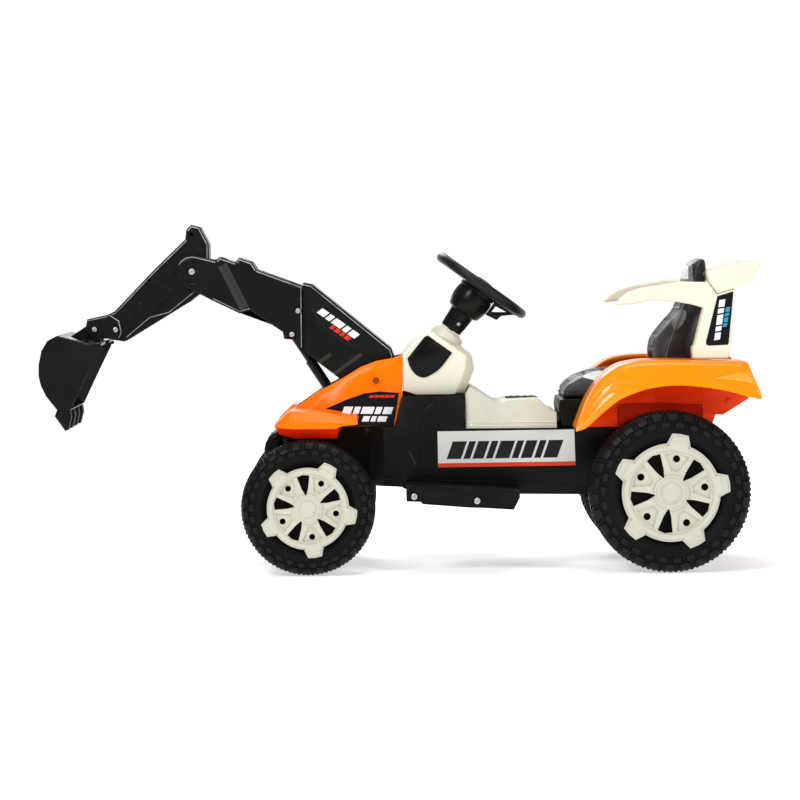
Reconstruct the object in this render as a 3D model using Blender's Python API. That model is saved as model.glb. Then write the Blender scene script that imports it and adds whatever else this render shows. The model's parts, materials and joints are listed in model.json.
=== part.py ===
"""Ride-on digger: a child's battery-driven tractor with a boom, a stick and a bucket on its nose.

The front points to -X, the driver's left is -Y, +Z is up, and the ground is at Z = 0. Lengths
are written in millimetres, and each mesh is scaled to Blender's metres as it is made.
"""

import math

import bmesh
import bpy
from mathutils import Matrix, Vector

MM = 0.001
GAP = 0.4  # between pieces that touch on the real toy
WALL = 4.0  # a blow-moulded panel
SIDES = (("left", -1), ("right", 1))

FRONT_AXLE = (-188.0, 141.0)  # x, z
REAR_AXLE = (567.0, 168.5)
FRONT_RADIUS = 140.5
REAR_RADIUS = 168.5
WHEEL_OUTER = 256.0  # |y| of the tyres' outer faces
FRONT_INNER = 160.0
REAR_INNER = 142.0
KINGPIN_Y = 135.0
STEER_ARM = 75.5  # kingpin to tie rod

WHEEL_CENTRE = Vector((183.0, 0.0, 598.5))  # middle of the steering wheel
COLUMN = Vector((0.585, 0.0, 0.811)).normalized()  # up the steering column
CRANK_DIRECTION = Vector((COLUMN.z, 0.0, -COLUMN.x))
CRANK_THROW = 45.0
CRANK_AT = -549.0  # along the column from the wheel's middle

BOOM_PIVOT = (-45.0, 400.0)  # x, z
ELBOW = (-435.5, 634.0)
BUCKET_PIVOT = (-645.0, 512.0)
MOUNT_BOLT = (-600.0, 511.5)
BOOM_BOLT = (-210.0, 548.5)
CYLINDER_TOP = (-223.5, 498.5)
CYLINDER_FOOT = (-115.0, 332.0)
PEDAL_HINGE = (130.0, 188.0)
STEP_RODS = ((33.0, 164.0), (164.0, 154.0))
STEP_INNER = 134.0  # |y| of the foot boards
STEP_OUTER = 245.0

BOOM_REAR_HALF = 57.5  # |y| of the boom's rear cheeks
BOOM_FRONT_HALF = 55.0
STICK_HALF = 42.0
BUCKET_HALF = 160.0
TUB_HALF = 130.0
HOOD_HALF = 101.0

FINISHES = {  # colour, roughness, metallic
    "orange": ((0.95, 0.20, 0.01), 0.30, 0.0),
    "deep_orange": ((0.75, 0.07, 0.01), 0.35, 0.0),
    "cream": ((0.82, 0.80, 0.68), 0.35, 0.0),
    "black": ((0.015, 0.015, 0.014), 0.45, 0.0),
    "gloss_black": ((0.008, 0.008, 0.008), 0.12, 0.0),
    "leather": ((0.03, 0.03, 0.032), 0.50, 0.0),
    "tyre": ((0.014, 0.014, 0.013), 0.60, 0.0),
    "steel": ((0.55, 0.56, 0.57), 0.30, 1.0),
    "grey": ((0.10, 0.10, 0.11), 0.50, 0.0),
}


# ---------------------------------------------------------------- shapes


def loft(rings):
    """A solid through closed rings of the same number of points, capped at both ends."""
    bm = bmesh.new()
    rows = [[bm.verts.new(point) for point in ring] for ring in rings]
    count = len(rows[0])
    for near, far in zip(rows, rows[1:]):
        for i in range(count):
            j = (i + 1) % count
            bm.faces.new((near[i], near[j], far[j], far[i]))
    bm.faces.new(rows[0])
    bm.faces.new(rows[-1])
    return bm


def vessel(outer, inner, walled=(True, True)):
    """A shell between two sheets of stations, each an open line of points from rim to rim.

    walled says whether the first and the last station close with a wall or stay open.
    """
    bm = bmesh.new()
    out = [[bm.verts.new(point) for point in line] for line in outer]
    into = [[bm.verts.new(point) for point in line] for line in inner]
    for sheet in (out, into):
        for near, far in zip(sheet, sheet[1:]):
            for j in range(len(near) - 1):
                bm.faces.new((near[j], near[j + 1], far[j + 1], far[j]))
    for rim in (0, -1):
        for i in range(len(out) - 1):
            bm.faces.new((out[i][rim], out[i + 1][rim], into[i + 1][rim], into[i][rim]))
    for end, wall in zip((0, -1), walled):
        if wall:
            bm.faces.new(out[end])
            bm.faces.new(into[end])
            bm.faces.new((out[end][0], out[end][-1], into[end][-1], into[end][0]))
            continue
        for j in range(len(out[end]) - 1):
            bm.faces.new((out[end][j], out[end][j + 1], into[end][j + 1], into[end][j]))
    return bm


def inset(outline, distance):
    """The outline moved inwards by distance, corner by corner. A negative distance grows it."""
    area = sum(
        a[0] * b[1] - b[0] * a[1] for a, b in zip(outline, outline[1:] + outline[:1])
    )
    turn = 1.0 if area > 0 else -1.0
    moved = []
    for before, here, after in zip(
        outline[-1:] + outline[:-1], outline, outline[1:] + outline[:1]
    ):
        first = (Vector(here) - Vector(before)).normalized()
        second = (Vector(after) - Vector(here)).normalized()
        normal = Vector((-first.y - second.y, first.x + second.x)) * turn
        reach = distance / max(0.35, normal.length / 2)
        moved.append(tuple(Vector(here) + normal.normalized() * reach))
    return moved


def across(outline, y):
    return [Vector((x, y, z)) for x, z in outline]


def prism(outline, low, high):
    """An outline in the XZ plane, drawn out from y = low to y = high."""
    return loft([across(outline, low), across(outline, high)])


def soft_prism(outline, low, high, edge):
    """A prism whose two outlines at the ends are drawn in by edge, as a bevel."""
    small = inset(outline, edge)
    return loft(
        [
            across(small, low),
            across(outline, low + edge),
            across(outline, high - edge),
            across(small, high),
        ]
    )


def arc(centre, radius, start, end, steps):
    """Points in the XZ plane from start to end degrees, 0 at +X and 90 at +Z."""
    angles = [math.radians(start + (end - start) * i / steps) for i in range(steps + 1)]
    return [
        (centre[0] + radius * math.cos(a), centre[1] + radius * math.sin(a))
        for a in angles
    ]


def channel(outline, half, wall):
    """A box section |y| <= half in the XZ plane, open between the outline's last and first points."""
    thin = inset(outline, wall)
    open_side = (Vector(outline[0]) - Vector(outline[-1])).normalized()
    for end in (0, -1):
        # The inner sheet's ends lie on the open side's line, so that the rims are flat.
        own = Vector(outline[end])
        thin[end] = tuple(own + open_side * (Vector(thin[end]) - own).dot(open_side))
    return vessel(
        [across(outline, -half), across(outline, half)],
        [across(thin, wall - half), across(thin, half - wall)],
    )


def along_axis(point, direction):
    """A frame at point whose Z runs along direction."""
    turn = Vector(direction).to_track_quat("Z", "Y").to_matrix().to_4x4()
    return Matrix.Translation(point) @ turn


def across_axle(axle, side):
    """A frame at an axle whose Z runs outwards along y on that side and whose X is the world's."""
    frame = Matrix(((1, 0, 0), (0, 0, side), (0, -side, 0))).to_4x4()
    return Matrix.Translation((axle[0], 0, axle[1])) @ frame


def circle(radius, along, place, count, turn=0.0):
    angles = [math.tau * (i + turn) / count for i in range(count)]
    return [
        place @ Vector((radius * math.cos(a), radius * math.sin(a), along)) for a in angles
    ]


def stack(profile, place, count=16):
    """A solid turned about place's Z from (radius, along) pairs."""
    return loft([circle(radius, along, place, count) for radius, along in profile])


def ring(profile, place, count):
    """A solid with a bore, turned about place's Z from a closed loop of (radius, along) pairs.

    Its flats, not its corners, lie on each radius, so that a wheel stands on a flat.
    """
    bm = bmesh.new()
    out = 1 / math.cos(math.pi / count)
    rows = [
        [bm.verts.new(p) for p in circle(radius * out, along, place, count, 0.5)]
        for radius, along in profile
    ]
    for near, far in zip(rows, rows[1:] + rows[:1]):
        for i in range(count):
            j = (i + 1) % count
            bm.faces.new((near[i], near[j], far[j], far[i]))
    return bm


def rod(start, end, radius, count=12):
    start, end = Vector(start), Vector(end)
    place = along_axis(start, end - start)
    return stack([(radius, 0.0), (radius, (end - start).length)], place, count)


def pin(at, half, radius, count=12):
    """A rod across the toy, through the point (x, z), from y = -half to y = half."""
    return rod((at[0], -half, at[1]), (at[0], half, at[1]), radius, count)


def headed_pin(at, half, radius, head, thick):
    """A pin whose two round heads begin at |y| = half."""
    place = along_axis((at[0], -half - thick, at[1]), (0, 1, 0))
    length = 2 * half + 2 * thick
    steps = [(head, 0), (head, thick), (radius, thick)]
    steps += [(radius, length - thick), (head, length - thick), (head, length)]
    return stack(steps, place)


def box(low, high):
    rings = []
    for z in (low[2], high[2]):
        corners = ((low[0], low[1]), (high[0], low[1]), (high[0], high[1]), (low[0], high[1]))
        rings.append([Vector((x, y, z)) for x, y in corners])
    return loft(rings)


def side_box(x, y, z, side):
    """A box from (low, high) pairs, whose y pair is measured outwards on that side."""
    low, high = sorted((y[0] * side, y[1] * side))
    return box((x[0], low, z[0]), (x[1], high, z[1]))


def torus(place, major, minor, count, sides):
    bm = bmesh.new()
    rows = []
    for i in range(count):
        a = math.tau * i / count
        row = []
        for k in range(sides):
            b = math.tau * k / sides
            reach = major + minor * math.cos(b)
            local = Vector((reach * math.cos(a), reach * math.sin(a), minor * math.sin(b)))
            row.append(bm.verts.new(place @ local))
        rows.append(row)
    for near, far in zip(rows, rows[1:] + rows[:1]):
        for k in range(sides):
            j = (k + 1) % sides
            bm.faces.new((near[k], near[j], far[j], far[k]))
    return bm


def trough(stations, wall):
    """An open-topped shell along X from (x, half width, bottom, top) stations."""
    outer, inner = [], []
    last = len(stations) - 1
    for i, (x, half, bottom, top) in enumerate(stations):
        outer.append([(x, -half, top), (x, -half, bottom), (x, half, bottom), (x, half, top)])
        x += wall * ((i == 0) - (i == last))
        half -= wall
        floor = bottom + wall
        inner.append([(x, -half, top), (x, -half, floor), (x, half, floor), (x, half, top)])
    return vessel(outer, inner)


def lid(stations, wall, walled=(True, True)):
    """An open-bottomed shell along X. A station is x and half of its line, from the rim up."""
    outer, inner = [], []
    last = len(stations) - 1
    for i, (x, line) in enumerate(stations):
        outer.append([(x, -y, z) for y, z in line] + [(x, y, z) for y, z in reversed(line)])
        if (i == 0 and walled[0]) or (i == last and walled[1]):
            x += wall if i == 0 else -wall
        thin = [(y - wall, z - (0 if k == 0 else wall * 0.9)) for k, (y, z) in enumerate(line)]
        inner.append([(x, -y, z) for y, z in thin] + [(x, y, z) for y, z in reversed(thin)])
    return vessel(outer, inner, walled)


# ---------------------------------------------------------------- objects


def clear_scene():
    for old in list(bpy.data.objects):
        bpy.data.objects.remove(old, do_unlink=True)


def finish_material(name, finish):
    colour, roughness, metallic = FINISHES[finish]
    material = bpy.data.materials.new(f"{name}_{finish}")
    material.use_nodes = True
    shader = material.node_tree.nodes["Principled BSDF"]
    shader.inputs["Base Color"].default_value = (*colour, 1.0)
    shader.inputs["Roughness"].default_value = roughness
    shader.inputs["Metallic"].default_value = metallic
    return material


def as_object(name, bm, pivot):
    """The shape as an object whose origin is at pivot."""
    bmesh.ops.transform(bm, matrix=Matrix.Translation(-Vector(pivot)), verts=bm.verts)
    bmesh.ops.scale(bm, vec=(MM, MM, MM), verts=bm.verts)
    bmesh.ops.recalc_face_normals(bm, faces=bm.faces)
    mesh = bpy.data.meshes.new(name)
    bm.to_mesh(mesh)
    bm.free()
    mesh.shade_smooth()
    mesh.set_sharp_from_angle(angle=math.radians(35))
    thing = bpy.data.objects.new(name, mesh)
    thing.location = Vector(pivot) * MM
    bpy.context.scene.collection.objects.link(thing)
    return thing


def make(name, base, finish, pivot=(0, 0, 0), joins=(), cuts=()):
    """One node: the base shape with joins united to it and then cuts taken out of it."""
    node = as_object(name, base, pivot)
    node.data.materials.append(finish_material(name, finish))
    for operation, shapes in (("UNION", joins), ("DIFFERENCE", cuts)):
        for number, shape in enumerate(shapes, 1):
            helper = as_object(f"{name}_{operation.lower()}_{number}", shape, pivot)
            helper.hide_render = True
            helper.display_type = "WIRE"
            step = node.modifiers.new(helper.name, "BOOLEAN")
            step.operation = operation
            step.object = helper
    return node


# ---------------------------------------------------------------- wheels and axles


def wheel(name, axle, side, radius, inner):
    """A blow-moulded wheel: tread, two sidewalls, a web, and a deep hollow on its inner side."""
    web = WHEEL_OUTER - 22
    profile = [
        (9.0, inner + 38),
        (28.0, inner + 38),
        (28.0, web - 14),
        (0.68 * radius, web - 18),
        (0.70 * radius, inner + 3),
        (0.85 * radius, inner),
        (0.97 * radius, inner + 8),
        (radius, inner + 17),
        (radius, WHEEL_OUTER - 17),
        (0.97 * radius, WHEEL_OUTER - 8),
        (0.86 * radius, WHEEL_OUTER),
        (0.75 * radius, WHEEL_OUTER - 9),
        (0.64 * radius, WHEEL_OUTER - 10),
        (0.63 * radius, web),
        (9.0, web),
    ]
    place = across_axle(axle, side)
    make(name, ring(profile, place, 36), "tyre", (axle[0], 0, axle[1]))


def hub_cover(name, axle, side, radius, lobe_turn):
    """A disc with five lobes, five bolt holes on the lobes and five windows between them."""
    disc, tip, low, high = 0.609 * radius, 0.730 * radius, WHEEL_OUTER - 8, WHEEL_OUTER + 4
    outline = []
    for k in range(5):
        centre = lobe_turn + 72 * k
        outline += arc(axle, disc, centre - 58, centre - 14, 4)
        outline += arc(axle, tip, centre - 8, centre + 8, 1)
    low, high = sorted((low * side, high * side))
    windows, holes = [], []
    for k in range(5):
        centre = lobe_turn + 36 + 72 * k
        wedge = ((0.20, 0), (0.44, -10), (0.50, -8), (0.50, 8), (0.44, 10))
        kite = [arc(axle, r * radius, centre + a, centre + a, 1)[0] for r, a in wedge]
        windows.append(prism(kite, low - 2, high + 2))
        spot = arc(axle, 0.42 * radius, centre - 36, centre - 36, 1)[0]
        start, end = (spot[0], low - 2, spot[1]), (spot[0], high + 2, spot[1])
        holes.append(rod(start, end, 0.045 * radius, 10))
    bore = rod((axle[0], low - 2, axle[1]), (axle[0], high + 2, axle[1]), 15 + GAP, 16)
    pivot = (axle[0], 0, axle[1])
    make(name, soft_prism(outline, low, high, 2.0), "cream", pivot, cuts=windows + holes + [bore])


def hub_cap(name, axle, side, radius):
    plate = WHEEL_OUTER + 4 + GAP
    profile = [(15, WHEEL_OUTER - 9), (15, plate), (0.17 * radius, plate)]
    profile += [(0.17 * radius, plate + 3), (0.14 * radius, plate + 5)]
    place = across_axle(axle, side)
    make(name, stack(profile, place, 12), "cream", (axle[0], 0, axle[1]))


def wheels():
    for word, side in SIDES:
        for end, axle, radius, inner, turn in (
            ("front", FRONT_AXLE, FRONT_RADIUS, FRONT_INNER, -10.0),
            ("rear", REAR_AXLE, REAR_RADIUS, REAR_INNER, 8.7),
        ):
            where = f"{end}_{word}"
            wheel(f"wheel_{where}", axle, side, radius, inner)
            hub_cover(f"hub_cover_{where}", axle, side, radius, turn)
            hub_cap(f"hub_cap_{where}", axle, side, radius)


def rear_drive():
    x, z = REAR_AXLE
    make("rear_axle", pin(REAR_AXLE, WHEEL_OUTER - 12, 8.0, 16), "steel", (x, 0, z))
    for word, side in SIDES:
        housing = side_box((x - 50, x + 50), (90, 123), (142, 222), side)
        motor = rod((x + 28, 91 * side, z + 32), (x + 28, 30 * side, z + 32), 18.0, 14)
        bore = rod((x, 88 * side, z), (x, 126 * side, z), 8.0 + GAP, 16)
        make(f"gear_motor_{word}", housing, "grey", joins=[motor], cuts=[bore])


def front_suspension():
    x, z = FRONT_AXLE
    top, bottom = z + 25, z - 26
    beam = box((x - 15, -150, top), (x + 15, 150, top + 11.6))
    parts = []
    for _, side in SIDES:
        parts.append(side_box((x - 15, x + 15), (112, 118), (bottom - 8, top + 2), side))
        parts.append(side_box((x - 15, x + 15), (114, 149), (bottom - 8, bottom), side))
        y = KINGPIN_Y * side
        parts.append(rod((x, y, bottom - 6), (x, y, top + 6), 5.0))
    make("front_axle_bracket", beam, "steel", joins=parts)
    for word, side in SIDES:
        y = KINGPIN_Y * side
        barrel = rod((x, y, bottom + 2), (x, y, top - 2), 10.5, 16)
        stub = rod((x, y + 6 * side, z), (x, (WHEEL_OUTER - 12) * side, z), 8.0, 16)
        arm = box((x, y - 7, z - 22), (x + STEER_ARM + 8, y + 7, z - 14))
        stud = rod((x + STEER_ARM, y, z - 15), (x + STEER_ARM, y, z - 38), 3.5)
        bore = rod((x, y, bottom - 4), (x, y, top + 4), 5.0 + GAP)
        make(f"knuckle_{word}", barrel, "steel", (x, y, z), joins=[stub, arm, stud], cuts=[bore])


def tie_rod():
    """A flat bar between the steering arms. Its three slots leave room for the studs' arcs."""
    x, low, high = FRONT_AXLE[0] + STEER_ARM, 107.0, 113.0
    bar = box((x - 18, -148, low), (x + 12, 148, high))
    middle = box((x - 27, -18, low), (x + 15, 18, high))
    slots = [box((x - 19, -4.6, low - 2), (x + 7, 4.6, high + 2))]
    for _, side in SIDES:
        slots.append(
            side_box((x - 11, x + 6), (KINGPIN_Y - 5, KINGPIN_Y + 5), (low - 2, high + 2), side)
        )
    make("tie_rod", bar, "steel", (x, 0, 110), joins=[middle], cuts=slots)


# ---------------------------------------------------------------- steering


def column_frame():
    return along_axis(WHEEL_CENTRE, COLUMN)


def column_prism(outline, half):
    """A prism across the toy from (along the crank direction, along the column) pairs."""
    points = []
    for out, up in outline:
        at = WHEEL_CENTRE + CRANK_DIRECTION * out + COLUMN * up
        points.append((at.x, at.z))
    return prism(points, -half, half)


def steering():
    place = column_frame()
    rim = torus(place, 104.0, 11.0, 36, 8)
    hub = stack([(30, -16), (32, -8), (32, 6), (29, 10)], place, 20)
    near_spoke = [(24, 0), (24, -15), (43, -15), (43, -46), (69, -42), (72, -29), (92, -12)]
    near_spoke += [(104, -7), (104, 3)]
    spokes = [column_prism(near_spoke, 9.0)]
    for turn in (-1, 1):
        angle = math.radians(120 * turn)
        across_y = Vector((0, 1, 0))
        out = CRANK_DIRECTION * math.cos(angle) + across_y * math.sin(angle)
        wide = COLUMN.cross(out)
        rings = []
        for reach, half, low, high in ((24, 13, -10, 4), (70, 11, -8, 3), (104, 13, -5, 4)):
            at = WHEEL_CENTRE + out * reach
            rings.append(
                [
                    at + wide * half + COLUMN * high,
                    at - wide * half + COLUMN * high,
                    at - wide * half + COLUMN * low,
                    at + wide * half + COLUMN * low,
                ]
            )
        spokes.append(loft(rings))
    pocket = stack([(21, -6), (21, 14)], place, 20)
    shaft_hole = stack([(6.0 + GAP, -20), (6.0 + GAP, -5)], place, 12)
    gap = column_prism([(47, -17), (47, -37), (82, -14)], 12.0)
    pivot = WHEEL_CENTRE
    make(
        "steering_wheel", rim, "black", pivot, joins=[hub] + spokes, cuts=[pocket, shaft_hole, gap]
    )
    button = [(20, -2), (20, 9), (17, 12), (8, 13.5)]
    make("horn_button", stack(button, place, 20), "grey", pivot)
    cowl = [(8, -108), (24, -108), (27, -71), (36, -67), (41, -45), (39, -17), (8, -17)]
    make("steering_shroud", ring(cowl, place, 20), "black", pivot)
    shaft = stack([(6, CRANK_AT - 6), (6, -7)], place, 12)
    crank = column_prism(
        [(-9, CRANK_AT - 4), (-9, CRANK_AT + 4), (53, CRANK_AT + 4), (53, CRANK_AT - 4)], 8.0
    )
    stud_at = WHEEL_CENTRE + CRANK_DIRECTION * CRANK_THROW
    stud = rod(stud_at + COLUMN * CRANK_AT, stud_at + COLUMN * (CRANK_AT - 33), 3.0)
    make("steering_shaft", shaft, "steel", pivot, joins=[crank, stud])


# ---------------------------------------------------------------- body shells


def chassis_tub():
    stations = [
        (-245, 86, 196, 284),
        (-236, 96, 178, 299),
        (-62, 96, 178, 303),
        (-56, 100, 178, 303),
        (-30, TUB_HALF, 178, 303),
        (-6, TUB_HALF, 177, 305),
        (8, TUB_HALF, 176, 366),
        (14, TUB_HALF, 172, 368),
        (139, TUB_HALF, 163, 368),
        (143, TUB_HALF, 163, 297),
        (200, TUB_HALF, 160, 297),
        (420, TUB_HALF, 157, 297),
        (428, TUB_HALF, 136, 297),
        (655, TUB_HALF, 136, 297),
    ]
    shaft_hole = box((-134, -10, 170), (-104, 10, 190))
    axle_hole = pin(REAR_AXLE, TUB_HALF + 5, 9.0, 16)
    make("chassis_tub", trough(stations, WALL), "black", cuts=[shaft_hole, axle_hole])


def hood():
    """Bonnet with both front mudguards, slotted on top for the boom."""
    crest = [(-262, 308, 50), (-250, 318, 62), (-232, 332, 72), (-194, 358, 80), (-156, 384, 84)]
    crest += [(-133, 395, 84), (-77, 429, 84), (-45, 441, 84), (-9, 447, 84), (11, 452, 84)]
    stations = []
    for x, top, half in crest:
        rim = 301 if x < -240 else 304
        side = min(HOOD_HALF, half + 17)
        stations.append((x, [(side, rim), (side - 5, max(306, top - 22)), (half, top)]))
    shell = lid(stations, WALL, walled=(True, False))
    guard = [(-258, 312), (-226, 342), (-163, 341), (-135, 336), (-87, 328), (-83, 321)]
    guard += [(-90, 317), (-116, 309), (-125, 293), (-127, 285), (-138, 284.5), (-215, 284.5)]
    guard += [(-247, 294), (-256, 308)]
    ridge_z, ridge_share = 312, 0.25  # the guards narrow to a ridge at their outer edge
    ridge = [(x, ridge_z + (z - ridge_z) * ridge_share) for x, z in guard]
    pocket = [(-240, 300), (-222, 332), (-165, 331), (-140, 326), (-130, 300), (-130, 270)]
    pocket += [(-240, 270)]
    guards, cuts = [], []
    for _, side in SIDES:
        rings = [across(guard, 97.5 * side), across(guard, 205 * side), across(ridge, 226 * side)]
        guards.append(loft(rings))
        cuts.append(prism(pocket, *sorted((103 * side, 203 * side))))
    slot = box((-216, -61, 325), (40, 61, 500))
    bore = pin(BOOM_PIVOT, HOOD_HALF + 5, 8.0 + GAP, 16)
    make("hood", shell, "orange", joins=guards, cuts=[slot, bore] + cuts)


def front_bumper():
    outline = [(-247, 196), (-270, 200), (-282, 222), (-284, 256), (-281, 269), (-274, 282)]
    outline += [(-262, 291), (-247, 293)]
    make("front_bumper", soft_prism(outline, -84, 84, 6), "black")


def dash_outline():
    outline = [(42, 368.6), (16, 378), (14, 455), (21, 467), (37, 485), (58, 498), (80, 500)]
    return outline + [(140, 467), (159, 451), (164, 423), (135, 368.6)]


def dash():
    outline = dash_outline()
    place = column_frame()
    collar = stack([(38, -190), (34, -140), (28, -122), (24.5, -110.5)], place, 20)
    hollow = inset(outline, WALL)
    hollow = [(x, z - (40 if z < 380 else 0)) for x, z in hollow]
    cuts = [prism(hollow, WALL - 98, 98 - WALL), stack([(9, -310), (9, -100)], place, 16)]
    make("dash_console", soft_prism(outline, -98, 98, 5), "cream", joins=[collar], cuts=cuts)
    insert = [(66, 500.5), (117, 458), (110, 449), (90, 424), (67, 409), (55, 406), (41, 411)]
    insert += [(28, 427), (23, 445), (16, 452), (11.5, 456.5), (18.5, 469.5), (35, 488), (57, 501)]
    seat = prism(inset(outline, -GAP), -98 - GAP, 98 + GAP)
    make("dash_insert", prism(insert, -101, 101), "gloss_black", cuts=[seat])


def centre_cover():
    tops = [(144, 371), (154, 387), (207, 353), (221, 352), (232, 357), (299, 359), (324, 335)]
    tops += [(336.5, 331)]
    stations = [(x, [(126, 298), (114, z)]) for x, z in tops]
    holes = [box((x - 11, -9, 340), (x + 11, 9, 370)) for x in (251, 281)]
    make("centre_cover", lid(stations, WALL), "cream", cuts=holes)
    for name, x in (("power_switch", 251), ("direction_switch", 281)):
        rocker = [(x - 9, 350), (x - 9, 362), (x, 360), (x + 9, 362), (x + 9, 350)]
        make(name, prism(rocker, -7, 7), "gloss_black", (x, 0, 354))


def seat():
    cushion = [(344, 298), (339, 341), (345, 367), (360, 391), (385, 410), (449, 426), (530, 426)]
    cushion += [(530, 334), (390, 334), (390, 298)]
    make("seat_cushion", soft_prism(cushion, -120, 120, 12), "leather")
    back = [
        (433, 535, 634, 118),
        (482, 539, 640, 122),
        (506, 556, 643, 122),
        (528, 580, 646, 118),
        (561, 592, 650, 108),
        (606, 607, 654, 84),
        (632, 608, 654, 78),
        (655, 630, 653, 62),
    ]
    rings = [
        [(x0, -half, z), (x1, -half, z), (x1, half, z), (x0, half, z)] for z, x0, x1, half in back
    ]
    make("seat_back", loft(rings), "leather")


def rear_body():
    """Deep orange box between the rear wheels, which carries the seat and the mudguards."""
    levels = [(393, 298, 332), (533, 298, 332), (537, 298, 431), (664, 300, 431)]
    levels += [(672, 324, 431), (688, 323, 431), (742, 356, 428)]
    stations = [(x, [(126, low), (126, high)]) for x, low, high in levels]
    make("rear_body", lid(stations, WALL), "deep_orange")


def rear_fender(name, side):
    """Mudguard over a rear wheel: a roof and an outer skirt that follows the wheel's arch."""
    edges = [  # x, crest, arch
        (370, 306, 297),
        (391, 359, 304),
        (416, 399, 326),
        (436, 419, 343),
        (463, 435, 363),
        (496, 442, 377),
        (528, 444, 386),
        (575, 444, 391),
        (616, 443, 389),
        (656, 440, 384),
        (695, 440, 376),
        (727, 438, 366),
        (745, 402, 362),
        (756, 376, 361),
    ]
    outer, inner = [], []
    for x, crest, arch in edges:
        drop = crest - arch
        line = [(127, crest), (222, crest), (242, crest - 0.12 * drop)]
        line += [(250, crest - 0.4 * drop), (252, arch)]
        thin = [(127, crest - 6), (221, crest - 6), (238, crest - 0.12 * drop - 5)]
        thin += [(245, crest - 0.4 * drop - 2), (247, arch)]
        outer.append([(x, y * side, z) for y, z in line])
        inner.append([(x, y * side, z) for y, z in thin])
    make(name, vessel(outer, inner, walled=(False, False)), "orange")


def armrest_outline():
    arm = [(456, 557), (466, 571), (484, 584), (514, 594), (596, 606), (650, 604), (667, 579)]
    post = [(707, 590.5), (695, 469), (691, 444.6), (616, 444.6), (615, 468), (620, 475), (639, 551)]
    under = [(615, 558), (581, 564), (543, 567), (536, 569), (509, 563), (490, 560)]
    return arm + post + under


def upper_body():
    for word, side in SIDES:
        rear_fender(f"rear_fender_{word}", side)
        low, high = sorted((172 * side, 216 * side))
        make(f"armrest_{word}", soft_prism(armrest_outline(), low, high, 3), "cream")
    plate = [(651.5, 605), (648, 626), (701, 637), (757, 648), (760, 644), (744, 611)]
    plate += [(723, 600), (708, 591.6), (668, 580.4)]
    blade = [(657.5, 608), (657.5, 627), (757, 647), (759, 642), (744, 628)]
    ends = [soft_prism(plate, *sorted((172 * side, 216 * side)), 3) for _, side in SIDES]
    make("rear_wing", prism(blade, -180, 180), "cream", joins=ends)


def steps():
    """Foot boards, open below, on two rods that cross under the tub."""
    levels = [(17, 154, 189), (46, 153, 187), (51, 148, 187), (149, 140, 181), (180, 139, 179)]
    levels += [(240, 135, 175), (253, 160, 174)]
    last = len(levels) - 1
    for word, side in SIDES:
        outer, inner = [], []
        for i, (x, low, high) in enumerate(levels):
            near, far = STEP_INNER * side, STEP_OUTER * side
            outer.append([(x, near, low), (x, near, high), (x, far, high), (x, far, low)])
            x += WALL * ((i == 0) - (i == last))
            near, far = near + WALL * side, far - WALL * side
            top = high - WALL
            inner.append([(x, near, low), (x, near, top), (x, far, top), (x, far, low)])
        bores = []
        for x, z in STEP_RODS:
            start, end = (x, (STEP_INNER - 4) * side, z), (x, (STEP_OUTER + 5) * side, z)
            bores.append(rod(start, end, 5.0 + GAP))
        lugs = pedal_lugs() if word == "right" else []
        make(f"foot_step_{word}", vessel(outer, inner), "black", joins=lugs, cuts=bores)
    for word, at in zip(("front", "rear"), STEP_RODS):
        make(f"step_rod_{word}", headed_pin(at, STEP_OUTER + GAP, 5.0, 9.0, 4), "steel")


def pedal_lugs():
    """Two lugs and the hinge pin between them, moulded with the right foot board."""
    x, z = PEDAL_HINGE
    lug = [(x - 8, z - 8), (x + 8, z - 9), (x + 5, z + 5), (x - 5, z + 5)]
    return [rod((x, 153, z), (x, 225, z), 2.5), prism(lug, 152, 156), prism(lug, 222, 226)]


def pedal():
    x, z = PEDAL_HINGE
    blade = [(x + 1, z + 3), (x - 6, z + 8), (x - 66, z + 27), (x - 70, z + 21), (x - 6, z)]
    barrel = rod((x, 160, z), (x, 218, z), 5.0)
    bore = rod((x, 150, z), (x, 230, z), 2.5 + GAP)
    plate = prism(blade, 160, 218)
    make("accelerator_pedal", plate, "grey", (x, 0, z), joins=[barrel], cuts=[bore])


def power():
    make("battery", box((168, -50, 168), (318, 50, 262)), "grey")
    make("control_box", box((332, -38, 166), (396, 38, 204)), "grey")


# ---------------------------------------------------------------- digging arm


def boom_pedestal():
    """Two plates that hold the boom's pivot, a web between them and the cylinder's foot lugs."""
    plate = [(-155, 183), (-18, 183)] + arc(BOOM_PIVOT, 22, -10, 190, 8)
    foot = [(-139, 276), (-95, 276)] + arc(CYLINDER_FOOT, 12, -10, 190, 6)
    joins = []
    for _, side in SIDES:
        joins.append(side_box((-155, -20), (60, 88), (183, 188), side))
        joins.append(prism(foot, *sorted((13 * side, 21 * side))))
    far_plate = prism(plate, 60, 67)
    web = box((-142, -63, 262), (-94, 63, 280))
    joins += [web, far_plate, pin(CYLINDER_FOOT, 19, 5.0)]
    bore = pin(BOOM_PIVOT, 80, 8.0 + GAP, 16)
    make("boom_pedestal", prism(plate, -67, -60), "steel", joins=joins, cuts=[bore])
    make("boom_pivot_pin", headed_pin(BOOM_PIVOT, 98.5, 8.0, 10.0, 4), "steel")


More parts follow.
